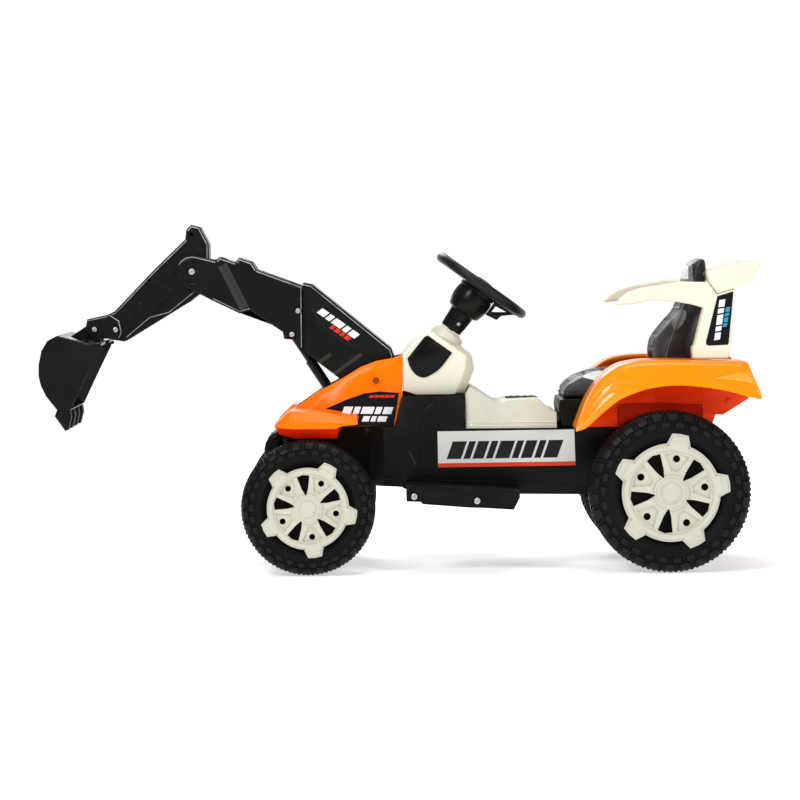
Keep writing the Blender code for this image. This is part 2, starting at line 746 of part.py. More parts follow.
def boom():
    outline = [(-198.5, 462), (-198.5, 609), (-180, 605), (-12, 467), (-6, 452)]
    outline += arc(BOOM_PIVOT, 46, 40, -112, 7) + [(-90, 379)]
    x, z = BOOM_PIVOT
    tongue = box((-236, -40, 522), (-194, 40, 574))
    strut_slot = box((-215, -14, 440), (-186, 14, 512))
    shell = channel(outline, BOOM_REAR_HALF, 5.0)
    bores = [pin(BOOM_PIVOT, 70, 8.0 + GAP, 16), pin(BOOM_BOLT, 70, 4.0 + GAP)]
    pivot = (x, 0, z)
    make("boom_rear", shell, "black", pivot, joins=[tongue], cuts=[strut_slot] + bores)

    top = [(-384, 657), (-377, 665), (-342, 653), (-335, 663), (-307, 653), (-297, 637)]
    top += [(-199.5, 601)]
    bottom = [(-199.5, 470), (-212, 484), (-220, 487), (-240, 489), (-243, 504), (-311, 550)]
    bottom += [(-334, 544), (-396, 574)]
    cheek = top + bottom + arc(ELBOW, 35, -110, -290, 9)
    roof = [(-362, 659.5), (-342, 652), (-335, 662), (-307, 652), (-297, 636), (-199.5, 600)]
    roof += [(-199.5, 595), (-300, 631), (-310, 646), (-333, 655), (-341, 646), (-362, 653)]
    floor = [(-262, 518), (-311, 551), (-334, 545), (-384, 569), (-382, 574), (-334, 551)]
    floor += [(-310, 557), (-262, 524)]
    near = prism(cheek, -BOOM_FRONT_HALF, 7.5 - BOOM_FRONT_HALF)
    far = prism(cheek, BOOM_FRONT_HALF - 7.5, BOOM_FRONT_HALF)
    webs = [prism(shape, 6.0 - BOOM_FRONT_HALF, BOOM_FRONT_HALF - 6.0) for shape in (roof, floor)]
    bores = [
        pin(ELBOW, 70, 6.0 + GAP),
        pin(BOOM_BOLT, 70, 4.0 + GAP),
        pin(CYLINDER_TOP, 70, 4.0 + GAP),
    ]
    make("boom_front", near, "black", pivot, joins=webs + [far], cuts=bores)
    reach = BOOM_FRONT_HALF + GAP
    make("boom_bolt", headed_pin(BOOM_BOLT, reach, 4.0, 7.5, 3), "steel", pivot)
    make("cylinder_pin", headed_pin(CYLINDER_TOP, reach, 4.0, 7.5, 3), "steel", pivot)
    make("elbow_pin", headed_pin(ELBOW, reach, 6.0, 9.0, 3.5), "steel", (ELBOW[0], 0, ELBOW[1]))


def cylinder():
    """A telescopic strut. The rod's top eye is loose on its pin, as the open pivot of the loop."""
    foot = Vector((CYLINDER_FOOT[0], 0, CYLINDER_FOOT[1]))
    top = Vector((CYLINDER_TOP[0], 0, CYLINDER_TOP[1]))
    length = (top - foot).length
    place = along_axis(foot, top - foot)
    barrel = stack([(10.8, 6), (10.8, 131)], place)
    eye = pin(CYLINDER_FOOT, 10.5, 10.0, 14)
    cuts = [stack([(8.6, 19), (8.6, 140)], place), pin(CYLINDER_FOOT, 20, 5.0 + GAP)]
    make("cylinder_barrel", barrel, "black", foot, joins=[eye], cuts=cuts)
    piston = stack([(8.0, 46), (8.0, length - 7)], place)
    top_eye = pin(CYLINDER_TOP, 10.0, 10.5, 14)
    make(
        "cylinder_rod", piston, "black", top, joins=[top_eye], cuts=[pin(CYLINDER_TOP, 20, 6.2)]
    )


def stick():
    top = [(-403, 612), (-399, 650), (-399, 692), (-418, 729), (-437, 734), (-447, 723)]
    top += [(-449, 703), (-518, 637), (-601, 551), (-611, 546)]
    nose = arc(BUCKET_PIVOT, 36, 40, -35, 4)
    outline = [(-437, 573), (-421, 585)] + top + nose + [(-581, 486)]
    x, z = ELBOW
    bores = [pin(ELBOW, 60, 6.0 + GAP), pin(MOUNT_BOLT, 60, 4.0 + GAP)]
    make("stick", channel(outline, STICK_HALF, 4.5), "black", (x, 0, z), cuts=bores)

    cheek = [(-660, 534), (-664, 512), (-655, 497), (-640, 492.5), (-590, 492.5), (-584, 505)]
    cheek += [(-590, 532), (-612, 546), (-617, 543)]
    web = [(-659.5, 534), (-617, 542.5), (-617, 537.5), (-659, 529)]
    inner, outer = STICK_HALF + 0.8, STICK_HALF + 6
    joins = [prism(cheek, inner, outer), prism(web, -inner - 1, inner + 1)]
    bores = [pin(BUCKET_PIVOT, 60, 4.5 + GAP), pin(MOUNT_BOLT, 60, 4.0 + GAP)]
    make("bucket_mount", prism(cheek, -outer, -inner), "black", joins=joins, cuts=bores)
    make("mount_bolt", headed_pin(MOUNT_BOLT, outer + GAP, 4.0, 7.5, 3), "steel")
    place = (BUCKET_PIVOT[0], 0, BUCKET_PIVOT[1])
    make("bucket_pin", headed_pin(BUCKET_PIVOT, outer + GAP, 4.5, 7.5, 3), "steel", place)


def bucket():
    outline = [(-620, 487), (-655, 484), (-713, 503), (-734, 492), (-747, 471), (-753, 442)]
    outline += [(-753.5, 418), (-749, 398), (-738, 375), (-716, 347), (-688, 345)]
    joins = []
    tooth = [(-715, 349), (-721, 333), (-699, 302), (-693, 304), (-687, 330), (-690, 347)]
    spacing = (2 * BUCKET_HALF - 40) / 3
    for k in range(4):
        y = -BUCKET_HALF + 20 + spacing * k
        joins.append(soft_prism(tooth, y - 19, y + 19, 3))
    ear = [(-622, 484), (-636, 484), (-700, 495)] + arc(BUCKET_PIVOT, 16, 130, -40, 6)
    for _, side in SIDES:
        joins.append(prism(ear, *sorted((33 * side, 41.5 * side))))
    # The back is notched for the stick, and further for the mount's cheeks when the bucket curls.
    cuts = [box((-632, -52, 474), (-600, 52, 500)), pin(BUCKET_PIVOT, 60, 4.5 + GAP)]
    for _, side in SIDES:
        cuts.append(side_box((-656, -600), (42.2, 52), (474, 500), side))
    pivot = (BUCKET_PIVOT[0], 0, BUCKET_PIVOT[1])
    shell = channel(outline, BUCKET_HALF, WALL)
    make("bucket", shell, "black", pivot, joins=joins, cuts=cuts)


def main():
    clear_scene()
    chassis_tub()
    hood()
    front_bumper()
    dash()
    centre_cover()
    seat()
    rear_body()
    upper_body()
    steps()
    pedal()
    power()
    front_suspension()
    tie_rod()
    rear_drive()
    wheels()
    steering()
    boom_pedestal()
    boom()
    cylinder()
    stick()
    bucket()


main()
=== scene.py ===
"""Looks of a child's ride-on digger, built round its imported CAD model.

Lengths are in metres. The front points to -X, the driver's left is -Y, and +Z is up.
"""

import json
import math

import bmesh
import bpy
from mathutils import Matrix, Vector
from mathutils.bvhtree import BVHTree


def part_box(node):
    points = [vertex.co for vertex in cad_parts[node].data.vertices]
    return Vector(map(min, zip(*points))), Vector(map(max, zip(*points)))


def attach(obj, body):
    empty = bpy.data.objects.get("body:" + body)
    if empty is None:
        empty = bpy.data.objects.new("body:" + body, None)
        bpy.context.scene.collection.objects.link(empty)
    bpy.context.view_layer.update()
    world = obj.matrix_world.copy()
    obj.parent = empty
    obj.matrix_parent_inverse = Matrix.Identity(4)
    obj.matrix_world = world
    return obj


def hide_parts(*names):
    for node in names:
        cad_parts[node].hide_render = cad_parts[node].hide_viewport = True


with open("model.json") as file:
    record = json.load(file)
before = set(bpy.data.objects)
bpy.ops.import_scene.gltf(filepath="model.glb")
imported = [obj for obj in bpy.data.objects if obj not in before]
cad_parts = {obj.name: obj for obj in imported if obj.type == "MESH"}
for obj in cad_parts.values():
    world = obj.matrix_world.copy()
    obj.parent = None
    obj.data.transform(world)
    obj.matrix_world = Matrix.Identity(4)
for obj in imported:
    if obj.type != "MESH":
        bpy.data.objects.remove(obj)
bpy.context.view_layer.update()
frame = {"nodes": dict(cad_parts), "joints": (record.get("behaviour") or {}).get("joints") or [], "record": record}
NODES = frame["nodes"]
BODY_OF = {
    node: body
    for body, nodes in frame["record"]["behaviour"]["bodies"].items()
    for node in nodes
}
SLOT_OF = {part["node"]: part["material_slot"] for part in frame["record"]["subparts"]}
SIDES = (("left", -1), ("right", 1))

# ---------------------------------------------------------------- materials


def surface(
    name,
    colour,
    rough,
    metallic=0.0,
    spread=0.05,
    blotch=14,
    grain=700,
    bump=0.1,
    depth=0.0003,
    coat=0.0,
    specular=0.5,
    cells=False,
):
    """A moulded, painted or padded surface: drifting colour, uneven gloss and a fine grain."""
    mat = bpy.data.materials.new(name)
    mat.use_nodes = True
    nodes, links = mat.node_tree.nodes, mat.node_tree.links
    shader = nodes["Principled BSDF"]
    shader.inputs["Metallic"].default_value = metallic
    shader.inputs["Coat Weight"].default_value = coat
    shader.inputs["Coat Roughness"].default_value = 0.12
    shader.inputs["Specular IOR Level"].default_value = specular
    place = nodes.new("ShaderNodeTexCoord").outputs["Object"]

    broad = nodes.new("ShaderNodeTexNoise")
    broad.inputs["Scale"].default_value = blotch
    broad.inputs["Detail"].default_value = 5
    links.new(place, broad.inputs["Vector"])
    ramp = nodes.new("ShaderNodeValToRGB")
    stops = ramp.color_ramp.elements
    for stop, position, share in ((stops[0], 0.3, 1 - spread * 1.6), (stops[1], 0.72, 1 + spread)):
        stop.position = position
        stop.color = (*[min(1, c * share) for c in colour], 1)
    links.new(broad.outputs["Fac"], ramp.inputs["Fac"])
    links.new(ramp.outputs["Color"], shader.inputs["Base Color"])

    if cells:
        fine = nodes.new("ShaderNodeTexVoronoi")
        fine.feature = "SMOOTH_F1"
        height = fine.outputs["Distance"]
    else:
        fine = nodes.new("ShaderNodeTexNoise")
        fine.inputs["Detail"].default_value = 3
        height = fine.outputs["Fac"]
    fine.inputs["Scale"].default_value = grain
    links.new(place, fine.inputs["Vector"])
    gloss = nodes.new("ShaderNodeMapRange")
    gloss.inputs["To Min"].default_value = max(0.02, rough - 0.07)
    gloss.inputs["To Max"].default_value = min(1, rough + 0.07)
    links.new(broad.outputs["Fac"], gloss.inputs["Value"])
    links.new(gloss.outputs["Result"], shader.inputs["Roughness"])
    relief = nodes.new("ShaderNodeBump")
    relief.inputs["Strength"].default_value = bump
    relief.inputs["Distance"].default_value = depth
    links.new(height, relief.inputs["Height"])
    links.new(relief.outputs["Normal"], shader.inputs["Normal"])
    return mat


ORANGE = surface(
    "orange_plastic", (1.0, 0.18, 0.0), 0.27, spread=0.03, grain=900, bump=0.05, coat=0.02,
    specular=0.1,
)
# Paler orange, painted as the highlight on the rear mudguard's facet.
HIGHLIGHT_ORANGE = surface(
    "highlight_orange_plastic", (1.0, 0.36, 0.035), 0.27, spread=0.04, grain=900, bump=0.05,
    specular=0.2,
)
# Dark brown, painted as the shade in the pivot caps' recesses.
RECESS_SHADE = surface(
    "recess_shade_brown", (0.26, 0.055, 0.008), 0.4, spread=0.2, grain=900, bump=0.05,
    specular=0.2,
)
AMBER = surface(
    "amber_plastic", (1.0, 0.27, 0.0), 0.22, spread=0.02, grain=900, bump=0.05, coat=0.12,
    specular=0.25,
)
# Deep red-orange: the deep-orange slot's own colour and the mudguard seams, and painted shade on the mudguards'
# undersides.
DEEP_ORANGE_AND_SHADE = surface(
    "deep_orange_and_shade_plastic", (0.74, 0.018, 0.0), 0.34, spread=0.05, grain=900, bump=0.08, coat=0.05,
    specular=0.15,
)
# Red-orange: the orange darkened, painted as the shade on the body inside the mudguards and its plates.
SHADED_RED_ORANGE = surface(
    "shaded_red_orange_plastic", (1.0, 0.055, 0.0), 0.34, spread=0.05, grain=900, bump=0.08, specular=0.12,
)
HUB = surface(
    "hub_plastic", (0.56, 0.545, 0.455), 0.4, spread=0.03, grain=1100, bump=0.06, specular=0.25,
)
# The cream darkened, painted as shade on the centre cover.
SHADED = surface(
    "shaded_cream_plastic", (0.58, 0.575, 0.475), 0.42, spread=0.03, grain=1100, bump=0.06,
    specular=0.2,
)
CREAM = surface(
    "cream_plastic", (0.76, 0.735, 0.6), 0.36, spread=0.025, grain=1100, bump=0.06, coat=0.05,
    specular=0.25,
)
IVORY = surface(
    "ivory_plastic", (0.8, 0.765, 0.615), 0.36, spread=0.02, grain=1100, bump=0.05, coat=0.05,
    specular=0.25,
)
BLACK = surface(
    "grained_black_plastic", (0.0048, 0.0048, 0.0042), 0.42, spread=0.2, grain=1500, bump=0.3,
    specular=0.1,
)
ARM_BLACK = surface(
    "arm_black_plastic", (0.0052, 0.0052, 0.0045), 0.3, spread=0.2, grain=1200, bump=0.15,
    specular=0.14,
)
# Pale grey, painted on thin beads along the arm's upper and rear edges as highlights.
HIGHLIGHT_GREY = surface(
    "painted_edge_highlight", (0.4, 0.4, 0.39), 0.25, spread=0.35, blotch=40, grain=1200, bump=0.15,
)
GLOSS = surface(
    "polished_black", (0.004, 0.004, 0.004), 0.26, spread=0.1, grain=300, bump=0.02, specular=0.12,
)
RUBBER = surface(
    "tyre_black", (0.0045, 0.0045, 0.0042), 0.55, spread=0.25, blotch=22, grain=1800, bump=0.35,
    specular=0.09,
)
LUG = surface(
    "tyre_lug_black", (0.0052, 0.0052, 0.0049), 0.45, spread=0.25, blotch=22, grain=1800, bump=0.3,
    specular=0.17,
)
# Dark red, painted as the shade deep inside the rear wheel arches.
ARCH_SHADE_RED = surface(
    "shaded_red_plastic", (0.5, 0.016, 0.0), 0.5, spread=0.12, grain=900, bump=0.08, specular=0.1,
)
# Dark grey, lighter than the black, painted on raised bands and the tub's dent as their highlights.
RIB_HIGHLIGHT = surface(
    "rib_highlight_plastic", (0.024, 0.024, 0.022), 0.38, spread=0.2, grain=1200, bump=0.15,
    specular=0.3,
)
GREY = surface(
    "grey_plastic", (0.08, 0.08, 0.085), 0.5, spread=0.1, grain=1300, bump=0.25, specular=0.3,
)
STEEL = surface(
    "zinc_steel", (0.5, 0.51, 0.52), 0.38, metallic=1.0, spread=0.08, grain=2200, bump=0.12,
)
GRIP = surface(
    "grip_black", (0.006, 0.006, 0.0055), 0.4, spread=0.2, grain=520, bump=0.6, depth=0.0006,
    specular=0.25,
)
THREAD = surface("grey_thread", (0.32, 0.32, 0.33), 0.6, spread=0.1, grain=2400, bump=0.4)


def ink(name, colour, metallic=0.0):
    """A printed sticker: a smooth, slightly glossy film."""
    return surface(
        name, colour, 0.24, metallic, spread=0.04, blotch=6, bump=0.03, coat=0.05, specular=0.2
    )


WHITE_INK = ink("white_sticker", (0.86, 0.86, 0.86))
RED_INK = ink("red_sticker", (0.62, 0.035, 0.012))
BLUE_INK = ink("blue_sticker", (0.02, 0.3, 0.5))
BLACK_INK = ink("black_sticker", (0.0042, 0.0042, 0.0055))
SILVER_INK = ink("silver_sticker", (0.6, 0.615, 0.585), 0.1)


def leather(name, colour, bump=0.55):
    """Vinyl with the small rounded cells of a leather grain."""
    fixed = {"spread": 0.12, "blotch": 30, "grain": 420, "depth": 0.0006, "specular": 0.3}
    return surface(name, colour, 0.42, bump=bump, cells=True, **fixed)


LEATHER = leather("black_leather", (0.011, 0.011, 0.012))
SOFT_LEATHER = leather("charcoal_leather", (0.042, 0.042, 0.046))
GREY_LEATHER = leather("grey_leather", (0.16, 0.16, 0.165))
WHITE_LEATHER = leather("white_leather", (0.78, 0.78, 0.8), 0.35)

FINISH = {
    "orange_body": ORANGE,
    "deep_orange_body": DEEP_ORANGE_AND_SHADE,
    "cream_trim": CREAM,
    "black_body": BLACK,
    "gloss_black_trim": GLOSS,
    "grey_plastic": GREY,
    "seat_leather": LEATHER,
    "tyre_black": RUBBER,
    "steel_parts": STEEL,
}

# ---------------------------------------------------------------- mesh helpers


def shown(thing):
    """The object, put into the scene."""
    bpy.context.scene.collection.objects.link(thing)
    return thing


def as_piece(name, bm, body, slot, mats, sharp=32, stands_for=()):
    """The bmesh as a visible piece that rides on a body, in place of the CAD nodes it stands for."""
    bmesh.ops.recalc_face_normals(bm, faces=bm.faces)
    mesh = bpy.data.meshes.new(name)
    bm.to_mesh(mesh)
    bm.free()
    mesh.shade_smooth()
    mesh.set_sharp_from_angle(angle=math.radians(sharp))
    for mat in mats if isinstance(mats, (list, tuple)) else [mats]:
        mesh.materials.append(mat)
    thing = shown(bpy.data.objects.new(name, mesh))
    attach(thing, body)
    if stands_for:
        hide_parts(*stands_for)
    return thing


def baked(thing):
    """The object's modifiers applied to its mesh."""
    bpy.context.view_layer.update()
    graph = bpy.context.evaluated_depsgraph_get()
    mesh = bpy.data.meshes.new_from_object(thing.evaluated_get(graph))
    thing.modifiers.clear()
    old = thing.data
    thing.data = mesh
    bpy.data.meshes.remove(old)
    return thing


def soften(thing, width, segments=3, angle=28):
    """Rounds the piece's edges and evens out its shading."""
    bevel = thing.modifiers.new("rounding", "BEVEL")
    bevel.width = width
    bevel.segments = segments
    bevel.limit_method = "ANGLE"
    bevel.angle_limit = math.radians(angle)
    bevel.miter_outer = "MITER_ARC"
    weight = thing.modifiers.new("weighting", "WEIGHTED_NORMAL")
    weight.keep_sharp = False
    weight.weight = 80
    baked(thing)
    thing.data.set_sharp_from_angle(angle=math.radians(60))
    return thing


def cad_mesh(node):
    """A CAD node's shape, with its flat faces made whole."""
    bm = bmesh.new()
    bm.from_mesh(NODES[node].data)
    bmesh.ops.remove_doubles(bm, verts=bm.verts, dist=2e-5)
    flat = math.radians(1.0)
    bmesh.ops.dissolve_limit(bm, angle_limit=flat, verts=bm.verts, edges=bm.edges)
    return bm


def rounded(node, width, mat=None, segments=3, angle=28):
    """A CAD node's shape with rounded edges, in the node's place."""
    slot = SLOT_OF[node]
    look = mat or FINISH[slot]
    thing = as_piece(f"{node}_shape", cad_mesh(node), BODY_OF[node], slot, look, 60, [node])
    return soften(thing, width, segments, angle)


def join_rows(bm, rows, closed=True, capped=True):
    """Adds faces between rows of verts, round each row if it is closed, and over both ends."""
    count = len(rows[0])
    for near, far in zip(rows, rows[1:]):
        for i in range(count if closed else count - 1):
            j = (i + 1) % count
            bm.faces.new((near[i], near[j], far[j], far[i]))
    if capped:
        bm.faces.new(rows[0])
        bm.faces.new(rows[-1])


def prism_rows(bm, rows):
    """Adds a closed loft through rows of points to the bmesh."""
    join_rows(bm, [[bm.verts.new(p) for p in row] for row in rows])


def helper(bm):
    """A passing object that holds the bmesh, for modifiers to work on."""
    bmesh.ops.recalc_face_normals(bm, faces=bm.faces)
    mesh = bpy.data.meshes.new("helper")
    bm.to_mesh(mesh)
    bm.free()
    return shown(bpy.data.objects.new("helper", mesh))


def carved(base, joins=(), cuts=()):
    """The base shape with others joined to it and cut from it, as a bmesh."""
    thing = helper(base)
    others = []
    for operation, shapes in (("UNION", joins), ("DIFFERENCE", cuts)):
        for shape in shapes:
            other = helper(shape)
            step = thing.modifiers.new("step", "BOOLEAN")
            step.operation = operation
            step.object = other
            others.append(other)
    baked(thing)
    bm = bmesh.new()
    bm.from_mesh(thing.data)
    for thing in [thing, *others]:
        mesh = thing.data
        bpy.data.objects.remove(thing)
        bpy.data.meshes.remove(mesh)
    bmesh.ops.remove_doubles(bm, verts=bm.verts, dist=1e-6)
    return bm


def merged(bm, other, place=None):
    """Puts another bmesh's geometry into bm."""
    if place is not None:
        bmesh.ops.transform(other, matrix=place, verts=other.verts)
    mesh = bpy.data.meshes.new("part")
    other.to_mesh(mesh)
    other.free()
    bm.from_mesh(mesh)
    bpy.data.meshes.remove(mesh)


# ---------------------------------------------------------------- points and lines


def mm(points):
    """Points given in millimetres, as metres."""
    return [tuple(value / 1000 for value in point) for point in points]


def at_y(points, y):
    """(x, z) points put in the upright plane at y."""
    return [(x, y, z) for x, z in points]


def turns(count):
    """Angles spaced evenly round a circle."""
    return [math.tau * i / count for i in range(count)]


def polar(points, centre=(0, 0)):
    """(x, z) points from (radius, degrees) pairs."""
    return [
        (centre[0] + r * math.cos(math.radians(a)), centre[1] + r * math.sin(math.radians(a)))
        for r, a in points
    ]


def curve_through(points, steps=8):
    """Points on a Catmull-Rom curve through the given ones."""
    points = [Vector(p) for p in points]
    padded = [points[0] * 2 - points[1]] + points + [points[-1] * 2 - points[-2]]
    line = []
    for i in range(1, len(padded) - 2):
        p0, p1, p2, p3 = padded[i - 1 : i + 3]
        square = 2 * p0 - 5 * p1 + 4 * p2 - p3
        cube = 3 * p1 - p0 - 3 * p2 + p3
        for t in (k / steps for k in range(steps)):
            line.append(0.5 * (2 * p1 + (p2 - p0) * t + square * t * t + cube * t * t * t))
    return line + [points[-1]]


def flat_curve(points, steps=8):
    """(x, z) points on a smooth curve through the given ones."""
    return [(x, z) for x, z, _ in curve_through([(*p, 0) for p in points], steps)]


def ring_of(z, x0, x1, half, count, power):
    """A rounded oblong in the XY plane."""
    middle, deep = (x0 + x1) / 2, (x1 - x0) / 2
    points = []
    for a in turns(count):
        c, s = math.cos(a), math.sin(a)
        x = middle + deep * math.copysign(abs(c) ** (2 / power), c)
        y = half * math.copysign(abs(s) ** (2 / power), s)
        points.append((x, y, z))
    return points


def shrunk(outline, distance):
    """An outline drawn in towards its middle by about distance."""
    middle = Vector((sum(x for x, _ in outline), sum(z for _, z in outline))) / len(outline)
    spans = [max(abs(p[k] - middle[k]) for p in outline) for k in (0, 1)]
    along, up = [1 - distance / span for span in spans]
    return [(middle.x + (x - middle.x) * along, middle.y + (z - middle.y) * up) for x, z in outline]


def smooth_step(low, high, value):
    """A soft ramp from 0 at low to 1 at high."""
    t = min(1.0, max(0.0, (value - low) / (high - low)))
    return t * t * (3 - 2 * t)


def blend_between(stations, at):
    """Straight-line values between stations whose first number is where they lie."""
    for a, b in zip(stations, stations[1:]):
        if at <= b[0]:
            t = max(0.0, (at - a[0]) / (b[0] - a[0]))
            return [p + (q - p) * t for p, q in zip(a[1:], b[1:])]
    return list(stations[-1][1:])


def inside(point, outline):
    """Whether a 2-D point lies in an outline."""
    odd = False
    for (ax, ay), (bx, by) in zip(outline, outline[1:] + outline[:1]):
        if (ay > point[1]) != (by > point[1]):
            odd ^= point[0] < (bx - ax) * (point[1] - ay) / (by - ay) + ax
    return odd


# ---------------------------------------------------------------- small shapes


def flat_ring(points, low, high):
    """A closed prism whose section is a list of (x, z) points, between two values of y."""
    bm = bmesh.new()
    prism_rows(bm, [at_y(points, y) for y in (low, high)])
    bmesh.ops.recalc_face_normals(bm, faces=bm.faces)
    return bm


def flat_box(low, high):
    """A box between two corners."""
    bm = bmesh.new()
    (x0, y0, z0), (x1, y1, z1) = low, high
    prism_rows(bm, [[(x0, y0, z), (x1, y0, z), (x1, y1, z), (x0, y1, z)] for z in (z0, z1)])
    return bm


def disc(radius, low, high, count=48, centre=(0, 0)):
    """A round plate between two values of y."""
    return flat_ring(polar([(radius, 360 * i / count) for i in range(count)], centre), low, high)


def tube(bm, points, radius, sides=8, flat=1.0):
    """Adds a closed round bar along a line of points to the bmesh."""
    points = [Vector(p) for p in points]
    side_way = None
    rows = []
    for i, point in enumerate(points):
        ahead = (points[min(i + 1, len(points) - 1)] - points[max(i - 1, 0)]).normalized()
        if side_way is None:
            side_way = ahead.orthogonal()
        side_way = (side_way - ahead * side_way.dot(ahead)).normalized()
        up = ahead.cross(side_way)
        row = []
        for a in turns(sides):
            row.append(point + (side_way * math.cos(a) * radius + up * math.sin(a) * radius * flat))
        rows.append(row)
    prism_rows(bm, rows)


def bar(bm, start, end, width, y, height, side):
    """Adds a raised bar with sloping sides to a flat side, from (x, z) to (x, z)."""
    start = Vector((start[0], 0, start[1]))
    end = Vector((end[0], 0, end[1]))
    ahead = (end - start).normalized()
    wide = Vector((-ahead.z, 0, ahead.x)) * width / 2
    rows = []
    for lift, share, draw in ((-0.001, 1.0, 0.0), (0.0, 1.0, 0.0), (height, 0.4, height)):
        near, far = start + ahead * draw, end - ahead * draw
        corners = (near + wide * share, far + wide * share, far - wide * share, near - wide * share)
        rows.append([(p.x, side * (y + lift), p.z) for p in corners])
    prism_rows(bm, rows)


def add_turned(bm, profile, place, count=32):
    """Adds a solid turned about place's Z from (radius, along) pairs, capped at both ends."""
    rows = []
    for r, along in profile:
        line = [Vector((r * math.cos(a), r * math.sin(a), along)) for a in turns(count)]
        rows.append([place @ point for point in line])
    prism_rows(bm, rows)


def facing(at, y, side):
    """A frame at (x, z) and |y| on one side of the toy, whose Z points outwards."""
    turn = Matrix(((1, 0, 0), (0, 0, side), (0, -side, 0))).to_4x4()
    return Matrix.Translation((at[0], side * y, at[1])) @ turn


# ---------------------------------------------------------------- sheets and stickers


def tree_of(nodes):
    """The CAD nodes' faces, ready for casting rays at."""
    bm = bmesh.new()
    for node in nodes:
        bm.from_mesh(NODES[node].data)
    tree = BVHTree.FromBMesh(bm)
    bm.free()
    return tree


def tree_of_piece(thing):
    """A piece's faces, ready for casting rays at."""
    mesh = thing.data
    return BVHTree.FromPolygons([v.co for v in mesh.vertices], [f.vertices for f in mesh.polygons])


def surface_line(thing, spots):
    """Points on the top of a piece above each (x, y) spot."""
    tree = tree_of_piece(thing)
    line = []
    for x, y in spots:
        hit = tree.ray_cast(Vector((x, y, 0.8)), Vector((0, 0, -1)))[0]
        if hit is not None:
            line.append(hit)
    return line


def sheet_over(outline, side, seen_from, nodes, lift, pitch, thick, reach):
    """A thin closed sheet over an outline of (x, z) points that lies on the nodes' sides."""
    tree = tree_of(nodes)
    bm = bmesh.new()
    bm.faces.new([bm.verts.new((x, 0, z)) for x, z in outline])
    for axis in (0, 2):
        values = [point[axis // 2] for point in outline]
        cut = min(values) + pitch
        while cut < max(values):
            level, normal = Vector(), Vector()
            level[axis], normal[axis] = cut, 1
            everything = bm.verts[:] + bm.edges[:] + bm.faces[:]
            bmesh.ops.bisect_plane(bm, geom=everything, plane_co=level, plane_no=normal)
            cut += pitch
    last = None
    for vert in sorted(bm.verts, key=lambda v: (round(v.co.x, 5), v.co.z)):
        start = Vector((vert.co.x, side * seen_from, vert.co.z))
        hit = tree.ray_cast(start, Vector((0, -side, 0)), reach)[0]
        last = hit.y if hit is not None else last
        if last is None:
            last = tree.find_nearest(start)[0].y
        vert.co.y = last + side * lift
    grown = bmesh.ops.extrude_face_region(bm, geom=bm.faces[:])["geom"]
    for vert in grown:
        if isinstance(vert, bmesh.types.BMVert):
            vert.co.y -= side * thick
    return bm


def skin(
    name, outline, side, seen_from, nodes, lift, mat, body, slot, pitch=0.012, thick=0.0008, reach=0.08
):
    """A thin sheet that lies on the nodes' sides, as a piece of its own."""
    bm = sheet_over(outline, side, seen_from, nodes, lift, pitch, thick, reach)
    return as_piece(name, bm, body, slot, mat, 40)


def slanted(start, end, height, shares, lean=0.35, gap=0.25):
    """Outlines of leaning bars along a line of (x, z), as wide as shares says."""
    start, end = Vector(start), Vector(end)
    length = (end - start).length
    ahead = (end - start) / length
    up = Vector((-ahead.y, ahead.x)) * height
    unit = length / (sum(shares) + gap * (len(shares) - 1) + lean * height / length)
    shapes, at = [], 0.0
    for share in shares:
        low = start + ahead * at
        high = low + ahead * share * unit
        top = ahead * lean * height + up
        shapes.append([tuple(low), tuple(high), tuple(high + top), tuple(low + top)])
        at += (share + gap) * unit
    return shapes


def stickers(name, shapes, side, seen_from, nodes, lift, mat, body, slot, reach=0.08):
    """One piece made of several sheets of the same ink."""
    bm = bmesh.new()
    for shape in shapes:
        merged(bm, sheet_over(shape, side, seen_from, nodes, lift, 0.02, 0.0008, reach))
    return as_piece(name, bm, body, slot, mat, 40)


# ---------------------------------------------------------------- camera, light and floor

CAMERA_AT = (-0.0155, -7.2, 0.6911)
CAMERA_TURN = (2.68, 0.17, 0.487)  # pitch, yaw and roll in degrees
LAMPS = (  # name, place, size, power
    ("key", (-1.8, -3.6, 3.0), 1.0, 100),
    ("top", (0.4, -0.3, 3.2), 1.2, 36),
    ("fill", (3.0, -3.4, 1.4), 1.2, 42),
    ("back", (-0.5, 3.4, 2.6), 1.6, 55),
)


def place_camera():
    """The camera that sees the toy from its left, a little from above."""
    data = bpy.data.cameras.new("camera")
    data.sensor_width = 36
    data.lens = 150.9
    data.clip_end = 60
    camera = shown(bpy.data.objects.new("camera", data))
    pitch, yaw, roll = (math.radians(angle) for angle in CAMERA_TURN)
    level = math.cos(pitch)
    forward = Vector((math.sin(yaw) * level, math.cos(yaw) * level, -math.sin(pitch)))
    right = forward.cross(Vector((0, 0, 1))).normalized()
    up = right.cross(forward)
    up_rolled = up * math.cos(roll) + right * math.sin(roll)
    right_rolled = right * math.cos(roll) - up * math.sin(roll)
    turn = Matrix((right_rolled, up_rolled, -forward)).transposed().to_4x4()
    camera.matrix_world = Matrix.Translation(CAMERA_AT) @ turn
    bpy.context.scene.camera = camera


def place_lights():
    """A white surrounding and four soft lamps that look at the toy's middle."""
    world = bpy.data.worlds.new("studio")
    world.use_nodes = True
    background = world.node_tree.nodes["Background"]
    background.inputs["Color"].default_value = (1, 1, 1, 1)
    background.inputs["Strength"].default_value = 0.32
    bpy.context.scene.world = world
    for name, at, size, power in LAMPS:
        data = bpy.data.lights.new(name, "AREA")
        data.size = size
        data.energy = power
        lamp = shown(bpy.data.objects.new(name, data))
        lamp.location = at
        gaze = Vector((0, 0, 0.3)) - Vector(at)
        lamp.rotation_euler = gaze.to_track_quat("-Z", "Y").to_euler()


